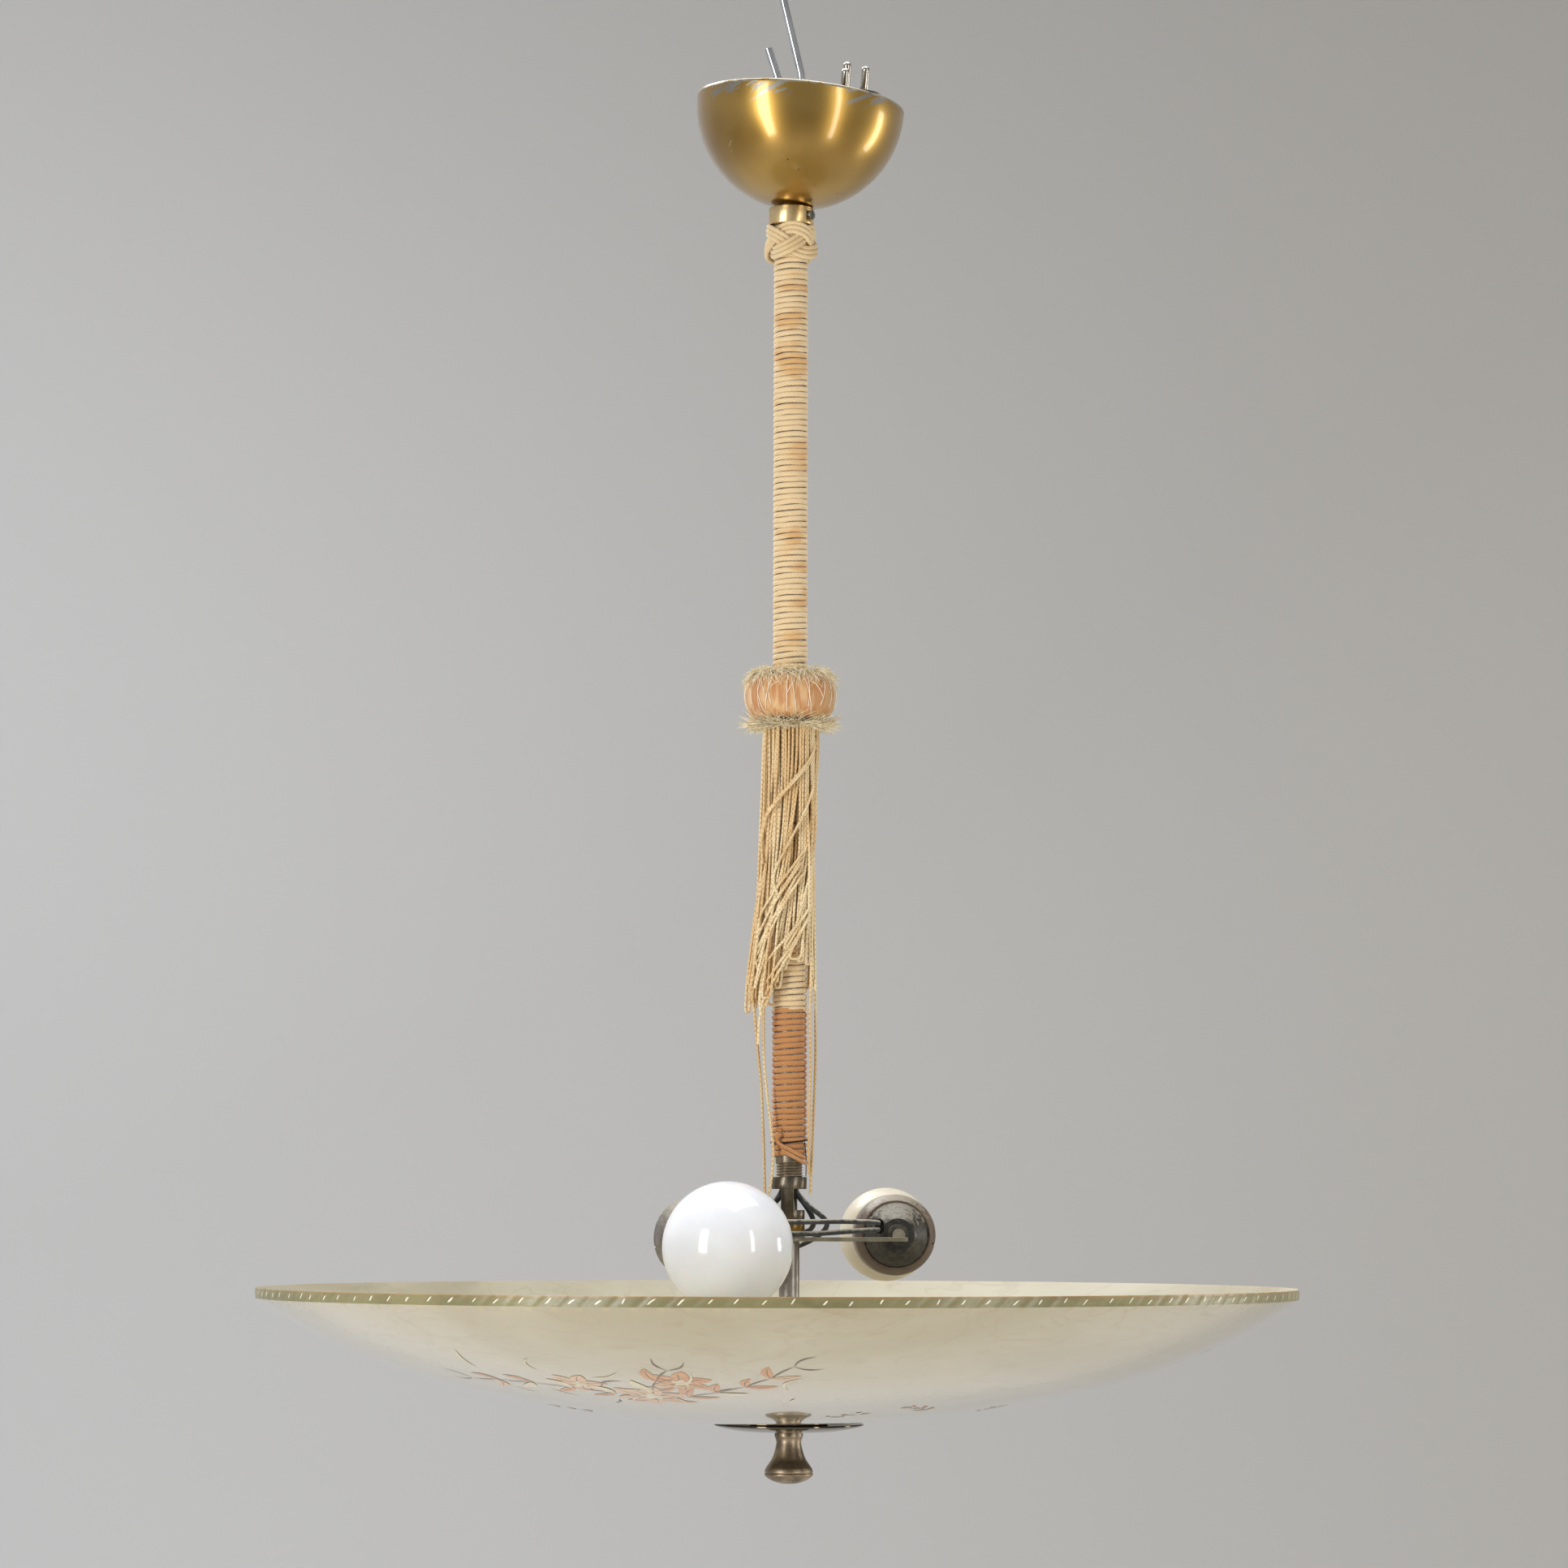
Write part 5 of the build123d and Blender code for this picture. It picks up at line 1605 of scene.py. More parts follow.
@dataclass
class LampSide:
    """One lampholder with its bulb.

    Attributes:
        name: right or left.
        origin: Where the holder meets its ear, in millimetres.
        axis: The way the bulb points.
        ball: Radius of the bulb.
        length: Length of the bulb.
        frosted: Frosted instead of opal.
        bulb_foot: Where the bulb's base starts on the holder's axis.
        base_length: Length of the base.
        base_radius: Radius at the base's top.
    """

    name: str
    origin: Point
    axis: Point
    ball: float
    length: float
    frosted: bool
    bulb_foot: float = 20.3
    base_length: float = 24.0
    base_radius: float = 13.1

    def place(self) -> Matrix:
        """Carries the holder's own axis to its place on the lamp."""
        turn = Vector(self.axis).to_track_quat("Z", "Y").to_matrix().to_4x4()
        return Matrix.Translation(Vector(self.origin)) @ turn

    def bulb(self) -> None:
        """Ball, neck and screw base."""
        foot = self.bulb_foot + self.base_length
        centre = self.bulb_foot + self.length - self.ball
        join = self.ball * 0.62
        join_at = centre - math.sqrt(self.ball**2 - join**2)
        neck = foot + 3.5
        waist = (self.base_radius + join) / 2 - 0.25
        narrow = neck + (join_at - neck) * 0.6
        profile = [(0.02, foot), (self.base_radius, foot)]
        profile += bent(
            [(self.base_radius, foot), (self.base_radius, neck), (waist, narrow), (join, join_at)], 8
        )
        round_part = arc((0, centre), self.ball, math.asin(join / self.ball), math.pi, 48)
        profile += [(max(0.02, r), h) for r, h in round_part[1:]]
        skin = Skin(f"bulb_{self.name}_glass")
        lathe(skin, profile, 96, place=self.place())
        if self.frosted:
            finish = BulbGlass("frosted_bulb", "#D6CFBC", "#C9C0AB", 0.45, 0.35)
        else:
            finish = BulbGlass("opal_bulb", "#F3F5FA", "#EBEEF5", 0.06, 0.25)
        skin.piece([finish.material()], f"bulb_{self.name}", [f"bulb_glass_{self.name}"], 60)

    def screw_base(self, finish: bpy.types.Material) -> None:
        """Rolled screw cap with its contact end."""
        skin = Skin(f"bulb_{self.name}_cap")
        foot, steps = self.bulb_foot, 72
        profile = [(0.02, foot), (5.0, foot), (5.0, foot + 1.0)]
        profile += bent([(5.4, foot + 1.2), (10.0, foot + 2.6), (12.6, foot + 4.2)], 4)
        for step in range(steps + 1):
            h = foot + 4.4 + (self.base_length - 4.6) * step / steps
            profile.append((12.75 + 0.35 * math.sin(step * FULL_TURN / 12), h))
        profile.append((0.02, foot + self.base_length))
        lathe(skin, profile, 72, place=self.place())
        skin.piece([finish], f"bulb_{self.name}", [f"bulb_base_{self.name}"], 70)

    def build(self, nickel: bpy.types.Material) -> None:
        """Make the bulb and finish the holder."""
        self.bulb()
        self.screw_base(nickel)
        dark = Moulding(f"holder_cap_{self.name}", "#262421", "#35322D", 0.26, 0.6).material()
        ring_tone = "#5E4A3C" if self.frosted else "#4B4743"
        brown = Moulding(f"holder_ring_{self.name}", ring_tone, "#67584C", 0.34, 0.6).material()
        dress_nodes([f"holder_cap_{self.name}"], dark, 0.4)
        dress_nodes([f"holder_shell_{self.name}"], brown, 0.4)
        porcelain = Moulding(f"porcelain_{self.name}", "#E2DED2", "#D4CFC0", 0.3).material()
        dress_nodes([f"holder_insert_{self.name}"], porcelain, 0.2)
        contact = Metal(f"contact_{self.name}", "#B08D4A", "#8E6F38", 0.3).material()
        dress_nodes([f"holder_contact_{self.name}"], contact)


@dataclass
class CordWinding:
    """Cord wound in close turns on the stem, with its tail and tie wire.

    Attributes:
        pipe: Radius on which the cord lies.
        lower_foot: Height of the lower winding's foot.
        lower_top: Height of its top, under the ring.
        lower_pitch: Distance between its turns.
        colour_change: Height at which its cord turns from orange to cream.
        overlap: How far the cream turns run on under the orange ones.
        upper_foot: Height of the upper winding's foot.
        upper_top: Height of its top, under the knot.
        upper_pitch: Distance between its turns.
    """

    pipe: float = 6.68
    lower_foot: float = 153.5
    lower_top: float = 363.6
    lower_pitch: float = 2.83
    colour_change: float = 226.6
    overlap: float = 5.0
    upper_foot: float = 364.9
    upper_top: float = 590.6
    upper_pitch: float = 2.75

    def turns(
        self, skin: Skin, foot: float, top: float, pitch: float, half: tuple[float, float], seed: float
    ) -> None:
        """Wind one cord.

        Args:
            skin: Where it goes.
            foot: Height of the first turn's underside.
            top: Height of the last turn's upper side.
            pitch: Distance between turns.
            half: Half thickness outward and half width along the stem.
            seed: Shifts the small irregularities.
        """
        per_turn, sides = 30, 8
        count = int((top - foot - 2 * half[1]) / pitch * per_turn)
        vertices, faces = [], []
        for i in range(count + 1):
            angle = FULL_TURN * i / per_turn
            height = foot + half[1] + pitch * i / per_turn
            drift = noise.noise(polar(0.8, angle, height * 0.21 + seed))
            swell = 1 + 0.07 * noise.noise(Vector((i * 0.33, seed, 0)))
            line = self.pipe + half[0] * swell
            height += drift * 0.5
            for side in range(sides):
                phi = FULL_TURN * side / sides
                twist = 1 + 0.05 * math.sin(i * 1.9 + phi)
                r = line + math.cos(phi) * half[0] * swell * twist
                h = height + math.sin(phi) * half[1] * (0.98 - 0.05 * drift)
                vertices.append(at(r * math.cos(angle), r * math.sin(angle), h))
        for i in range(count):
            for side in range(sides):
                after = (side + 1) % sides
                low, high = i * sides, (i + 1) * sides
                faces.append((low + side, high + side, high + after, low + after))
        faces.append(tuple(range(sides)))
        faces.append(tuple(count * sides + k for k in reversed(range(sides))))
        skin.add(vertices, faces)

    def tail(self, skin: Skin) -> None:
        """Cord end that crosses the last turns and is tucked under them."""
        points = [
            Vector((-5.0, -9.2, 166.0)), Vector((-6.0, -8.6, 163.0)), Vector((-4.2, -9.2, 160.6)),
            Vector((-0.2, -9.9, 158.4)), Vector((4.0, -8.9, 156.0)), Vector((7.4, -6.2, 154.4)),
        ]
        tube(skin, spline(points, 6), lambda t: 1.7 - 0.8 * min(1.0, t * 5), 8)
        below = [p + Vector((0.6, -0.2, -2.6)) for p in points[2:]]
        tube(skin, spline(below, 6), 0.9, 8)
        for tuft in range(12):
            rng = random.Random(tuft)
            reach = (rng.uniform(-1.2, 1.2), rng.uniform(-0.6, 0.4), rng.uniform(1.2, 3.0))
            tip = points[0] + Vector(reach)
            tube(skin, spline([points[0], (points[0] + tip) / 2 + Vector((0.3, 0, 0)), tip], 3), 0.18, 4)

    def tie_wire(self, finish: bpy.types.Material) -> None:
        """Thin wire round the lowest turns, and its straight end down to the yoke."""
        skin = Skin("tie_wire")
        loop = []
        for step in range(48):
            angle = FULL_TURN * step / 48
            r = 8.95 + 0.12 * math.sin(3 * angle)
            loop.append(polar(r, angle, 162.4 + 0.9 * math.sin(angle + 0.8)))
        tube(skin, loop, 0.36, 6, closed=True)
        drop = [
            Vector((7.3, -5.0, 162.0)), Vector((7.9, -4.6, 156.0)),
            Vector((8.0, -4.4, 150.0)), Vector((7.9, -4.0, 145.6)),
        ]
        tube(skin, spline(drop, 6), 0.24, 6)
        skin.piece([finish], "stem")

    def build(self) -> None:
        """Wind the whole stem."""
        cream = WoundCord("cream_cord", "#F4E0B6", "#BE9056", "#E4B97E", 0.52).material()
        orange = WoundCord("orange_cord", "#D89A5C", "#8A5226", "#E6B47A", 0.55).material()
        seam = self.colour_change
        for name, span, pitch, half, seed, finish in (
            ("upper", (self.upper_foot, self.upper_top), self.upper_pitch, (0.89, 1.33), 4.0, cream),
            ("inner", (seam - self.overlap, self.lower_top), self.lower_pitch, (0.89, 1.32), 9.0, cream),
            ("lower", (self.lower_foot, seam), self.lower_pitch, (0.92, 1.30), 1.0, orange),
        ):
            skin = Skin(f"{name}_winding_cord")
            self.turns(skin, *span, pitch, half, seed)
            if name == "lower":
                self.tail(skin)
            slot = "orange_cord" if name == "lower" else "cream_cord"
            skin.piece([finish], "stem", [f"winding_{name}"], 80)
        self.tie_wire(Metal("tie_wire", "#4A433A", "#2E2A25", 0.4).material())


@dataclass
class RopeKnot:
    """Woven knot of three-strand bands under the collar.

    Attributes:
        foot: Height of its foot.
        height: Its height.
        centre_radius: Mean distance of a band from the axis.
        weave: How far a band moves in and out.
        bights: Scallops along each edge, over three rounds.
        strand: Radius of one strand.
        spacing: Distance between the strands of a band.
        reach: How far a band's middle moves up and down.
    """

    foot: float = 589.6
    height: float = 16.4
    centre_radius: float = 10.45
    weave: float = 1.35
    bights: int = 4
    strand: float = 1.12
    spacing: float = 2.15
    reach: float = 5.9

    def build(self) -> None:
        """Weave the bands over a plain core."""
        skin = Skin("woven_knot")
        middle = self.foot + self.height / 2
        samples = 420

        def spot(t: float) -> Vector:
            """Point of the band's middle line."""
            wave = self.bights * t / 3
            r = self.centre_radius + self.weave * math.sin(2 * wave)
            return polar(r, t, middle + self.reach * math.cos(wave))

        for lane in (-1, 0, 1):
            line = []
            for i in range(samples):
                t = 6 * math.pi * i / samples
                way = (spot(t + 0.01) - spot(t - 0.01)).normalized()
                out = polar(1, t, 0)
                side = way.cross(out).normalized()
                crown = 0.25 * (1 - abs(lane))
                line.append(spot(t) + side * self.spacing * lane + out * crown)
            tube(skin, line, self.strand, 10, closed=True)
        top = self.foot + self.height
        lower = [(6.7, self.foot + 0.1), (8.9, self.foot + 0.7)]
        core = lower + [(9.5, middle), (8.9, top - 0.7), (6.7, top - 0.1)]
        lathe(skin, bent(core, 4), 48)
        cord = WoundCord("knot_cord", "#F2DEB2", "#B58B52", "#E6C894", 0.5, yarns=60, lean=700)
        skin.piece([cord.material()], "stem", ["rope_knot"], 80)


@dataclass
class Ruff:
    """Silk-wrapped ring with straw fringes above and below.

    Attributes:
        foot: Height of the ring's foot.
        height: Its height.
        inner: Its inner radius.
        outer: Its outer radius.
        hairs: How many pale threads cross it.
        upper_fibres: Fibres of the upper fringe.
        lower_fibres: Fibres of the lower fringe.
    """

    foot: float = 364.6
    height: float = 22.1
    inner: float = 8.55
    outer: float = 22.1
    hairs: int = 40
    upper_fibres: int = 900
    lower_fibres: int = 860

    def ring_point(self, angle: float, lift: float) -> tuple[float, float]:
        """Radius and height on the ring's section.

        Args:
            angle: Angle on the section; 0 points outward and a quarter turn up.
            lift: Distance off the surface.
        Returns:
            Radius and height.
        """
        middle = (self.inner + self.outer) / 2
        r = middle + ((self.outer - self.inner) / 2 + lift) * math.cos(angle)
        h = self.foot + self.height / 2 + (self.height / 2 + lift) * math.sin(angle)
        return r, h

    def silk_ring(self) -> bpy.types.Object:
        """Stuffed ring with its fine laid threads."""
        section = [self.ring_point(FULL_TURN * k / 56, -0.25) for k in range(56)]

        def thread(angle: float, ring: int, r: float, h: float) -> tuple[float, float]:
            """Raise the bundles of thread."""
            slow = noise.noise(polar(7, angle, h * 0.05))
            fine = noise.noise(polar(46, angle, h * 0.02))
            return r + 0.22 * slow + 0.16 * fine, h + 0.1 * slow

        skin = Skin("silk_ring")
        lathe(skin, section, 420, True, shift=thread)
        ring = skin.piece([SilkThread().material()], "stem", ["ruff_ring"], 80)
        return ring

    def stray_hairs(self) -> None:
        """A few pale threads that cross the silk."""
        rng = random.Random(5)
        skin = Skin("stray_threads")
        for _ in range(self.hairs):
            bearing = rng.uniform(0, FULL_TURN)
            line = []
            start, end = rng.uniform(0.5, 1.2), rng.uniform(-0.9, 0.2)
            sway = rng.uniform(-0.25, 0.25)
            for step in range(9):
                t = step / 8
                r, h = self.ring_point(start + (end - start) * t, 0.12 + 0.25 * math.sin(math.pi * t))
                a = bearing + sway * t
                line.append(polar(r, a, h))
            tube(skin, line, 0.16, 4)
        skin.piece([Straw("pale_thread", "#EFE3CB", "#FFF8E8", "#C9A877").material()], "stem")

    def fringe(self, name: str, node: str, strands: int, span: tuple[float, float], seed: int) -> None:
        """Fluffy fringe of short fibres.

        Args:
            name: Name of the piece.
            node: The CAD node it stands for.
            strands: How many fibres.
            span: Section angles that it covers, from its root outward.
            seed: Seed of its variety.
        """
        rng = random.Random(seed)
        skin = Skin(name)
        for _ in range(strands):
            bearing = rng.uniform(0, FULL_TURN)
            end = span[0] + (span[1] - span[0]) * rng.uniform(0.35, 1.0)
            lift = rng.uniform(0.3, 1.2) if rng.random() < 0.55 else rng.uniform(1.2, 4.6)
            curl = rng.uniform(-0.42, 0.42)
            line = []
            for step in range(7):
                t = step / 6
                r, h = self.ring_point(span[0] + (end - span[0]) * t, 0.25 + lift * t**1.4)
                a = bearing + curl * t * t + 0.05 * math.sin(9 * t + bearing * 7)
                line.append(polar(r, a, h))
            tube(skin, line, lambda t: 0.27 * (1 - 0.7 * t), 4)
        straw = Straw(name + "_straw", "#CDB98A", "#F2E9CF", "#A68F5E")
        skin.piece([straw.material()], "stem", [node], 80)

    def lower_fringe(self) -> None:
        """Fibres that stand out and curl under the ring."""
        rng = random.Random(23)
        skin = Skin("fringe_under_ring")
        for _ in range(self.lower_fibres):
            bearing = rng.uniform(0, FULL_TURN)
            reach = rng.uniform(14.5, 22.6) if rng.random() < 0.7 else rng.uniform(22, 27)
            rise = rng.uniform(-3.4, 5.4)
            curl = rng.uniform(-0.42, 0.42)
            start = Vector((9.4, 0, rng.uniform(361.4, 363.6)))
            points = [
                start,
                Vector(((start.x + reach) / 2, 0, start.z + 0.2 * rise - 0.6)),
                Vector((reach, 0, start.z + rise - rng.uniform(0.0, 1.6))),
            ]
            line = []
            for i, p in enumerate(spline(points, 3)):
                a = bearing + curl * (i / 6) ** 2
                line.append(polar(p.x, a, p.z))
            tube(skin, line, lambda t: 0.28 * (1 - 0.7 * t), 4)
        straw = Straw("under_ring_straw", "#D3C090", "#F4ECD4", "#A68F5E")
        skin.piece([straw.material()], "stem", ["fringe_lower"], 80)

    def build(self) -> bpy.types.Object:
        """Make the ring and both fringes."""
        ring = self.silk_ring()
        self.stray_hairs()
        span = (math.radians(124), math.radians(14))
        self.fringe("fringe_over_ring", "fringe_upper", self.upper_fibres, span, 17)
        self.lower_fringe()
        return ring


@dataclass
class Tassel:
    """Skirt of thin braided cords that end in loops.

    Attributes:
        top: Height at which the cords start.
        cord: Radius of a cord.
        drift: How far the foot hangs to the left.
        foot: Height of the foot.
        crossings: Upper and lower height, upper and lower bearing in degrees, and number of
            the cords that cross the front.
    """

    top: float = 361.5
    cord: float = 0.64
    drift: float = 4.2
    foot: float = 226
    crossings: tuple[tuple[float, float, float, float, int], ...] = (
        (354.0, 319.0, -20.0, -152.0, 2),
        (338.0, 296.0, -34.0, -120.0, 1),
        (306.0, 268.0, -42.0, -150.0, 3),
        (296.0, 248.0, -52.0, -158.0, 3),
        (280.0, 238.0, -30.0, -140.0, 3),
    )

    def strand_line(
        self, bearing: float, radius: float, foot: float, sweep: float, rng: random.Random
    ) -> list[Vector]:
        """Points of one hanging cord, from the ring down.

        Args:
            bearing: Where it starts round the stem.
            radius: Distance from the axis at its start.
            foot: Height of its lower end.
            sweep: How far it turns round the stem on its way down.
            rng: Source of variety.
        Returns:
            The points, in millimetres.
        """
        points = []
        joints = 11
        wave = rng.uniform(0, 6.28)
        depth = rng.uniform(0.2, 0.9)
        for joint in range(joints + 1):
            t = joint / joints
            height = self.top + (foot - self.top) * t
            spread = radius * (1 + 0.08 * t + 0.26 * t * t)
            angle = bearing + sweep * t**1.3
            front = math.degrees(angle) % 360
            if 262 < front < 318 and height < 272:
                push = (272 - height) / 50
                angle += math.radians(-14 if front < 290 else 14) * min(1.0, push)
            spread += depth * math.sin(wave + 5.5 * t)
            x = spread * math.cos(angle) - self.drift * t * t + 0.7 * math.sin(wave * 2 + 6 * t)
            points.append(Vector((x, spread * math.sin(angle), height)))
        return points

    def crossing(
        self, high: float, low: float, start: float, end: float, rng: random.Random
    ) -> list[Vector]:
        """Points of a cord that crosses the front from the right down to the left.

        Args:
            high: Height where it leaves the upright.
            low: Height where it hangs straight again.
            start: Bearing of its upper part, in degrees.
            end: Bearing of its lower part, in degrees.
            rng: Source of variety.
        Returns:
            The points, in millimetres.
        """
        points = []
        fall = low - rng.uniform(10, 22)
        for height in (self.top, (self.top + high) / 2, high):
            points.append((height, start, 12.6))
        for step in range(1, 6):
            t = step / 6
            radius = 13.6 + 1.2 * math.sin(math.pi * t)
            points.append((high + (low - high) * t, start + (end - start) * t, radius))
        points += [(low, end, 14.2), ((low + fall) / 2, end - 4, 14.8)]
        points.append((fall, end + rng.uniform(-8, 8), 15.2))
        out = []
        for height, bearing, radius in points:
            share = (self.top - height) / (self.top - self.foot)
            a = math.radians(bearing)
            r = radius * (1 + 0.1 * share)
            out.append(Vector((r * math.cos(a) - self.drift * share**2, r * math.sin(a), height)))
        return out

    def clear(self, points: list[Vector]) -> list[Vector]:
        """Keep every point outside the stem's winding."""
        out = []
        for p in points:
            flat = Vector((p.x, p.y, 0))
            least = WINDING_RADIUS + self.cord + 0.25
            if flat.length < least:
                flat = flat.normalized() * least
            out.append(Vector((flat.x, flat.y, p.z)))
        return out

    def build(self) -> None:
        """Hang the cords in pairs that join in loops."""
        rng = random.Random(41)
        skin = Skin("tassel_cords")

        def plait(ring: int, side: int) -> float:
            """Small ripple of the braid."""
            return 1 + 0.13 * math.sin(ring * 2.1 + side * math.pi)

        layers = ((9.55, 17, 0.0), (10.9, 15, 0.4), (12.2, 13, 0.15))
        for radius, loops, offset in layers:
            for index in range(loops):
                bearing = offset + FULL_TURN * (index + rng.uniform(-0.25, 0.25)) / loops
                left_side = math.cos(bearing) < 0.35
                foot = rng.uniform(225.5, 240) if left_side else rng.uniform(230, 262)
                sweep = rng.gauss(0.0, 0.22)
                if radius > 12 and index % 2 == 0:
                    sweep -= rng.uniform(0.9, 1.7)
                gap = rng.uniform(0.2, 0.34)
                down = self.strand_line(bearing, radius, foot, sweep, rng)
                back = sweep + rng.gauss(0, 0.12) - gap * 0.5
                up = self.strand_line(bearing + gap, radius, foot, back, rng)
                low = (down[-1] + up[-1]) / 2 - Vector((0, 0, 1.6))
                points = self.clear(down + [low] + up[::-1])
                tube(skin, spline(points, 9), self.cord * rng.uniform(0.94, 1.1), 6, ripple=plait)
        for high, low, start, end, lanes in self.crossings:
            for lane in range(lanes):
                line = self.crossing(
                    high - 3.0 * lane + rng.uniform(-2.5, 2.5),
                    low - 3.4 * lane + rng.uniform(-4, 4),
                    start - 4 * lane + rng.uniform(-8, 8),
                    end + 6 * lane + rng.uniform(-10, 10),
                    rng,
                )
                tube(skin, spline(self.clear(line), 8), self.cord, 6, ripple=plait)
        for strand in LONG_STRANDS:
            end = Vector(strand.route[0])
            angle, reach = math.atan2(end.y, end.x), math.hypot(end.x, end.y)
            line = []
            for step in range(9):
                t = step / 8
                r = 11.2 + (reach - 11.2) * t * t
                a = angle + 0.5 * (1 - t) + 0.04 * math.sin(9 * t)
                line.append(polar(r, a, self.top + (end.z - self.top) * t))
            tube(skin, spline(line, 5), self.cord, 6, ripple=plait)
        finish = BraidedCord("straw_braid", "#E2C08A", "#F6E4BA", "#A87A44")
        skin.piece([finish.material()], "stem", ["tassel_skirt"], 80)


@dataclass
class CeilingCup:
    """Lacquered brass cup with its collar and set screw.

    Attributes:
        pole: Height of the cup's lowest point.
        radius: Its outer radius.
        depth: Height from there to the rim.
        wall: Thickness of the brass.
        hole: Radius of the hole for the pipe.
        tilt: Its lean, in degrees.
    """

    pole: float = 615.05
    radius: float = 50.6
    depth: float = 52.0
    wall: float = 1.0
    hole: float = 7.3
    tilt: float = 5.0

    def build(self) -> None:
        """Spin the cup and finish the collar."""
        centre = self.pole + self.radius
        rim = self.pole + self.depth
        start = math.asin(self.hole / self.radius)
        outer = arc((0, centre), self.radius, start, math.pi / 2, 40)
        within = arc((0, centre), self.radius - self.wall, start, math.pi / 2, 40)
        inner = [(max(self.hole, r), h) for r, h in within]
        steps = ((0, 0.3), (0.3, 0), (0.7, 0), (1, 0.3))
        lip = [(self.radius - inset, rim - drop) for inset, drop in steps]
        turn = Matrix.Rotation(math.radians(self.tilt), 4, "Y")
        pivot = Matrix.Translation((0, 0, self.pole))

        def dent(angle: float, ring: int, r: float, h: float) -> tuple[float, float]:
            """Slight dents of an old spinning."""
            x, y = r * math.cos(angle), r * math.sin(angle)
            push = 0.0
            for cx, cy, ch, size, depth in ((-22, -38, 640, 7.0, 0.45), (30, -35, 648, 9.0, 0.25)):
                gap = math.dist((x, y, h), (cx, cy, ch))
                push += depth * math.exp(-((gap / size) ** 2))
            ripple = 0.10 * noise.noise(Vector((x * 0.05, y * 0.05, h * 0.08)))
            return r - push * (r / self.radius) + ripple, h

        skin = Skin("spun_cup")
        lathe(skin, outer + lip + inner[::-1], 192, True, pivot @ turn @ pivot.inverted(), shift=dent)
        skin.piece([CupLacquer().material()], "canopy", ["ceiling_cup"], 50)
        collar = Metal("collar_brass", "#E2C898", "#CDAE76", 0.34, 90, 0.03, 0.0, "#5A4020", 0.005)
        dress_nodes(["ceiling_collar"], collar.material(), 0.35)
        screw = Metal("screw_steel", "#8A8880", "#5F5D57", 0.4, 300, 0.1, fleck_tone="#B9B6AC").material()
        dress_nodes(["collar_set_screw"], screw, 0.2)


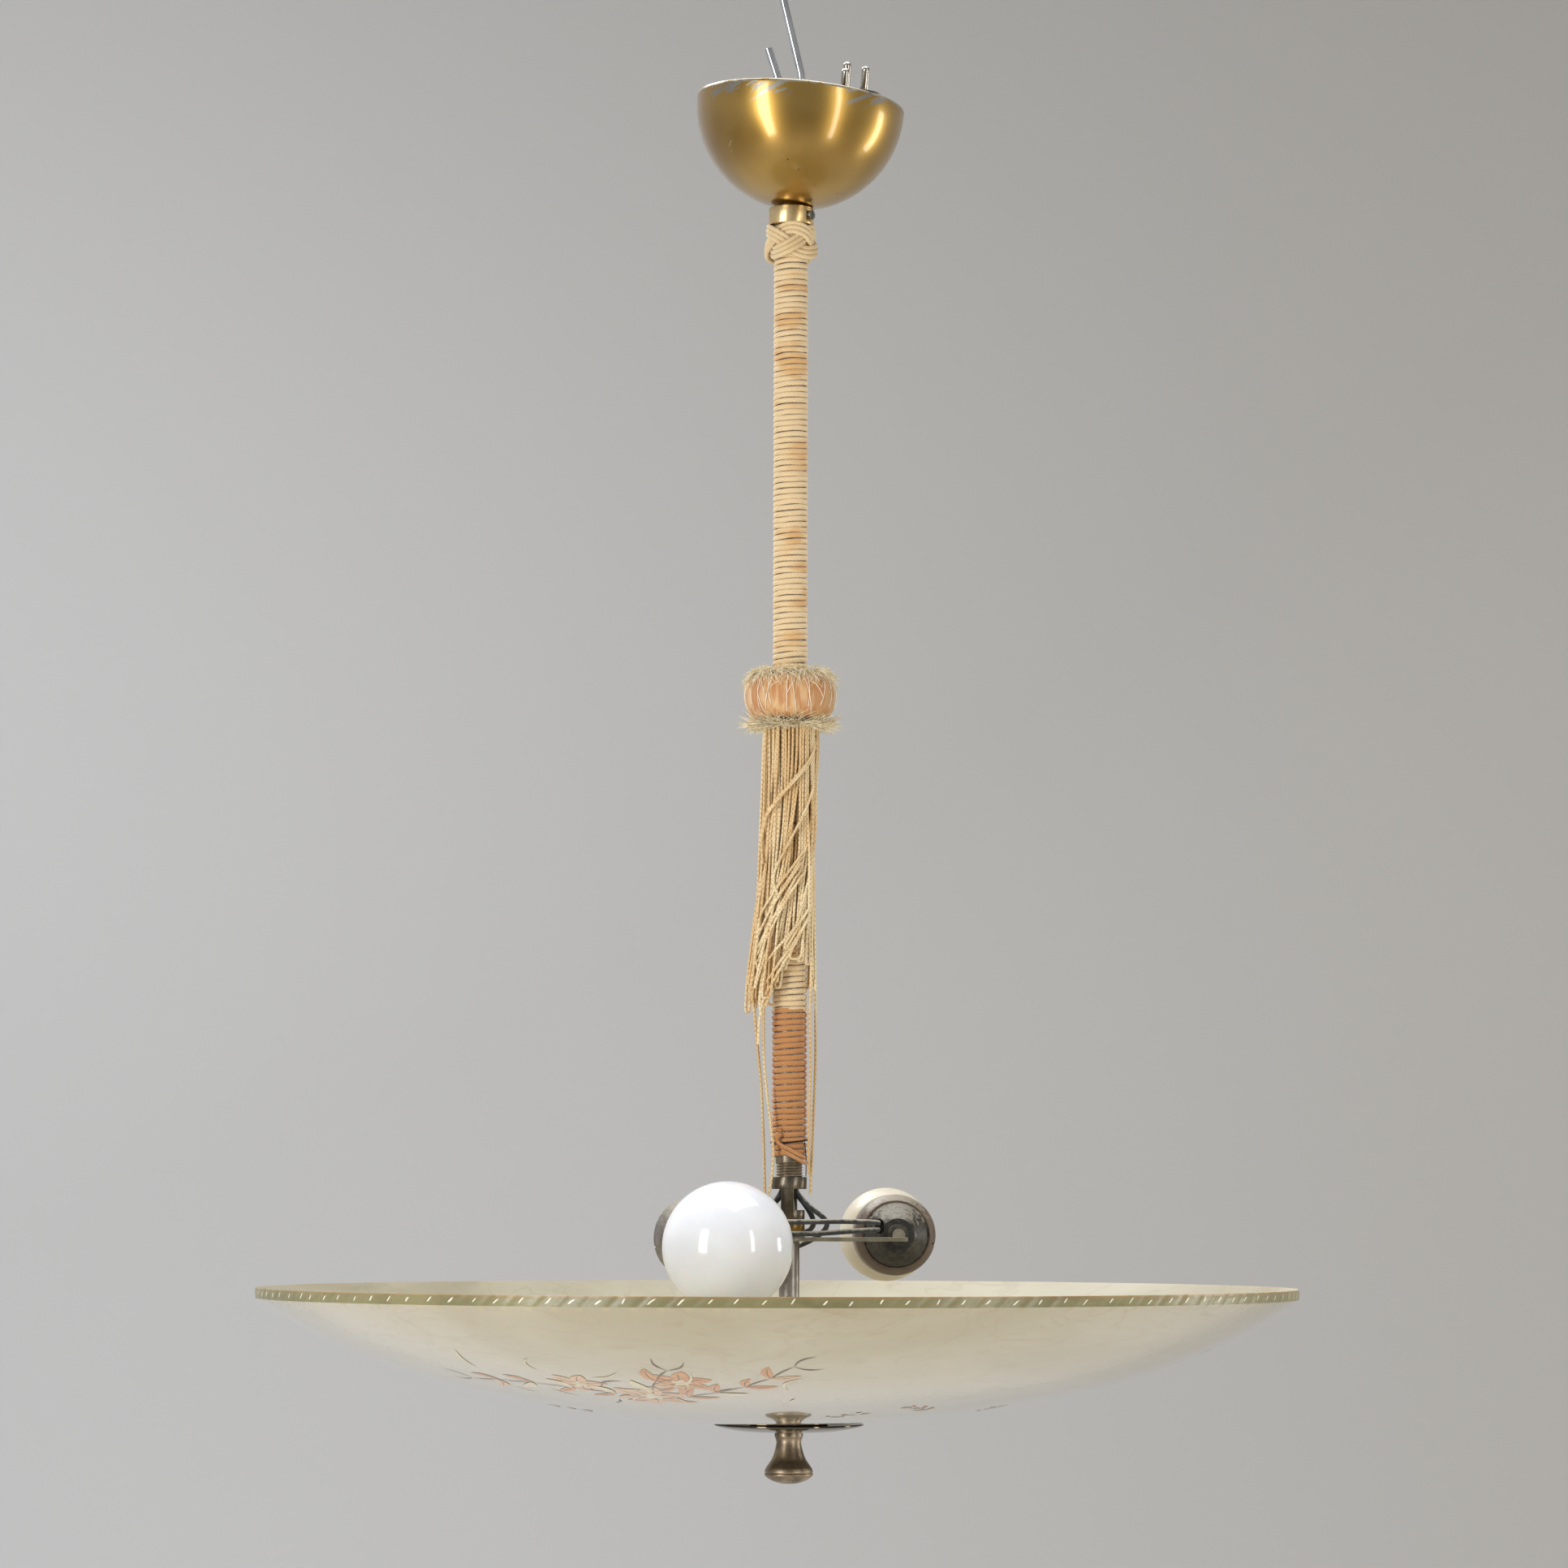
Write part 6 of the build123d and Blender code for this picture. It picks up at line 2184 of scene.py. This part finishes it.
@dataclass
class TopFittings:
    """S-hook, suspension loop and plug.

    Attributes:
        bend: Radius of the hook's bends, to the middle of the wire.
        wire: Radius of the hook's wire.
        foot: Height of the lower bend's middle.
        span: Distance between the middles of the bends.
        shank_lean: How far the shank leans, in degrees.
        tip_lean: How far the tips stand off upright, in degrees.
        tip_length: Length of the straight tips.
        straight: Upright stretch between a bend and the leaning shank.
        corner: Reach of the rounded corners of the shank.
        face: Middle of the plug's face.
        face_turn: Turn of the face about X, Y and Z, in degrees.
        pin_radius: Radius of the plug's pins.
    """

    bend: float = 4.8
    wire: float = 1.95
    foot: float = 674.3
    span: float = 70.5
    shank_lean: float = 13.2
    tip_lean: float = 17.6
    tip_length: float = 22.3
    straight: float = 6.5
    corner: float = 2.08
    face: Point = (30.6, 11.0, 674.55)
    face_turn: Point = (20.0, 4.5, 58.0)
    pin_radius: float = 2.0

    def hook(self) -> None:
        """Bend the wire: lower bend, leaning shank, and the lower bend turned over."""
        lean, slope = math.radians(self.tip_lean), math.radians(self.shank_lean)
        mouth = Vector((-self.bend * math.cos(lean), -self.bend * math.sin(lean)))
        lower = [mouth + Vector((-math.sin(lean), math.cos(lean))) * self.tip_length]
        start = math.pi + lean
        for step in range(25):
            angle = start + (2 * math.pi - start) * step / 24
            lower.append(Vector((math.cos(angle), math.sin(angle))) * self.bend)
        up, along = Vector((0, 1)), Vector((-math.sin(slope), math.cos(slope)))
        crossing = 2 * self.bend / math.tan(slope)
        shank = []
        for turn, before, after in (
            (Vector((self.bend, self.straight)), up, along),
            (Vector((-self.bend, self.straight + crossing)), along, up),
        ):
            for step in range(7):
                t = step / 6
                shank.append(turn + (after * t**2 - before * (1 - t) ** 2) * self.corner)
        upper = [Vector((0, self.span)) - p for p in reversed(lower)]
        skin = Skin("hook_wire")
        line = [Vector((p.x, 0, self.foot + p.y)) for p in lower + shank + upper]
        tube(skin, line, self.wire, 28)
        steel = Metal("hook_steel", "#D4D5D7", "#BFC1C4", 0.14, 60, tooth=0.002).material()
        skin.piece([steel], "hanger", ["hanging_hook"], 60)

    def pins(
        self, name: str, node: str, places: Sequence[Point], length: float, finish: bpy.types.Material
    ) -> None:
        """Turn pins with domed tips.

        Args:
            name: Name of the piece.
            node: The CAD node it stands for.
            places: Where the pins stand on the plug's face.
            length: Length of each pin.
            finish: Their metal.
        """
        face = Matrix.Translation(self.face)
        for angle, axis in zip(self.face_turn, "XYZ"):
            face = face @ Matrix.Rotation(math.radians(angle), 4, axis)
        profile = [(0.02, 0.0), (self.pin_radius, 0.0)]
        for step in range(9):
            angle = math.pi / 2 * step / 8
            rise = length - self.pin_radius * (1 - math.sin(angle))
            profile.append((max(0.02, self.pin_radius * math.cos(angle)), rise))
        skin = Skin(name)
        for place in places:
            lathe(skin, profile, 36, place=face @ Matrix.Translation(place))
        skin.piece([finish], "canopy", [node], 50)

    def build(self, nickel: bpy.types.Material) -> None:
        """Bend the hook, turn the pins and finish the nodes at the top."""
        self.hook()
        self.pins("line_pins_turned", "plug_line_pins", [(-9.5, 0, 0), (9.5, 0, 0)], 13.0, nickel)
        self.pins("earth_pin_turned", "plug_earth_pin", [(0, 5.0, 0)], 15.0, nickel)
        plated = Metal("loop_plating", "#8F8B83", "#736F67", 0.4, 80).material()
        dress_nodes(["suspension_loop"], plated, 0.3)
        grey = Moulding("plug_grey", "#4C4A48", "#5E5B57", 0.45, 0.4, "#9A968C").material()
        dress_nodes(("plug_body", "plug_cover"), grey, 0.3)
        cable = TextileCable("supply_sheath", settled=0.1).material()
        dress_nodes(["supply_cable"], cable)


def main() -> None:
    """Build the studio, the cords and every sub-assembly, and note each one."""
    studio = Studio()
    studio.camera()
    textile = TextileCable("feed_textile").material()
    strand = BraidedCord("long_strand", "#DDB97E", "#F0D8A6", "#9A6E3A").material()
    for cable in (*FEED_WIRES, PLUG_LEAD):
        cable.build(textile)
    for cable in LONG_STRANDS:
        cable.build(strand)
    LOG.info("cords laid")
    studio.build()
    nickel = Metal("nickel", "#C4BFB5", "#A8A399", 0.18, 120, tooth=0.003).material()
    bowl = Bowl()
    bowl.build()
    PaintedSprays(bowl).build()
    LOG.info("bowl done")
    BottomFittings().build()
    Hub().build()
    for name, ear, axis, ball, length, frosted in (
        ("right", (52.474, 10.223, 117.7), (-0.061049, 0.998135, 0.0), 23.0, 76.0, True),
        ("left", (-49.335, -20.656, 117.694), (0.258336, -0.964124, -0.061049), 30.0, 91.5, False),
    ):
        LampSide(name, ear, axis, ball, length, frosted).build(nickel)
    LOG.info("hub and bulbs done")
    CordWinding().build()
    RopeKnot().build()
    Ruff().build()
    Tassel().build()
    LOG.info("winding, knot, ring and tassel done")
    CeilingCup().build()
    TopFittings().build(nickel)
    LOG.info("cup, hook and plug done")


if __name__ == "__main__":
    logging.basicConfig(level=logging.INFO, format="%(name)s: %(message)s")
    main()
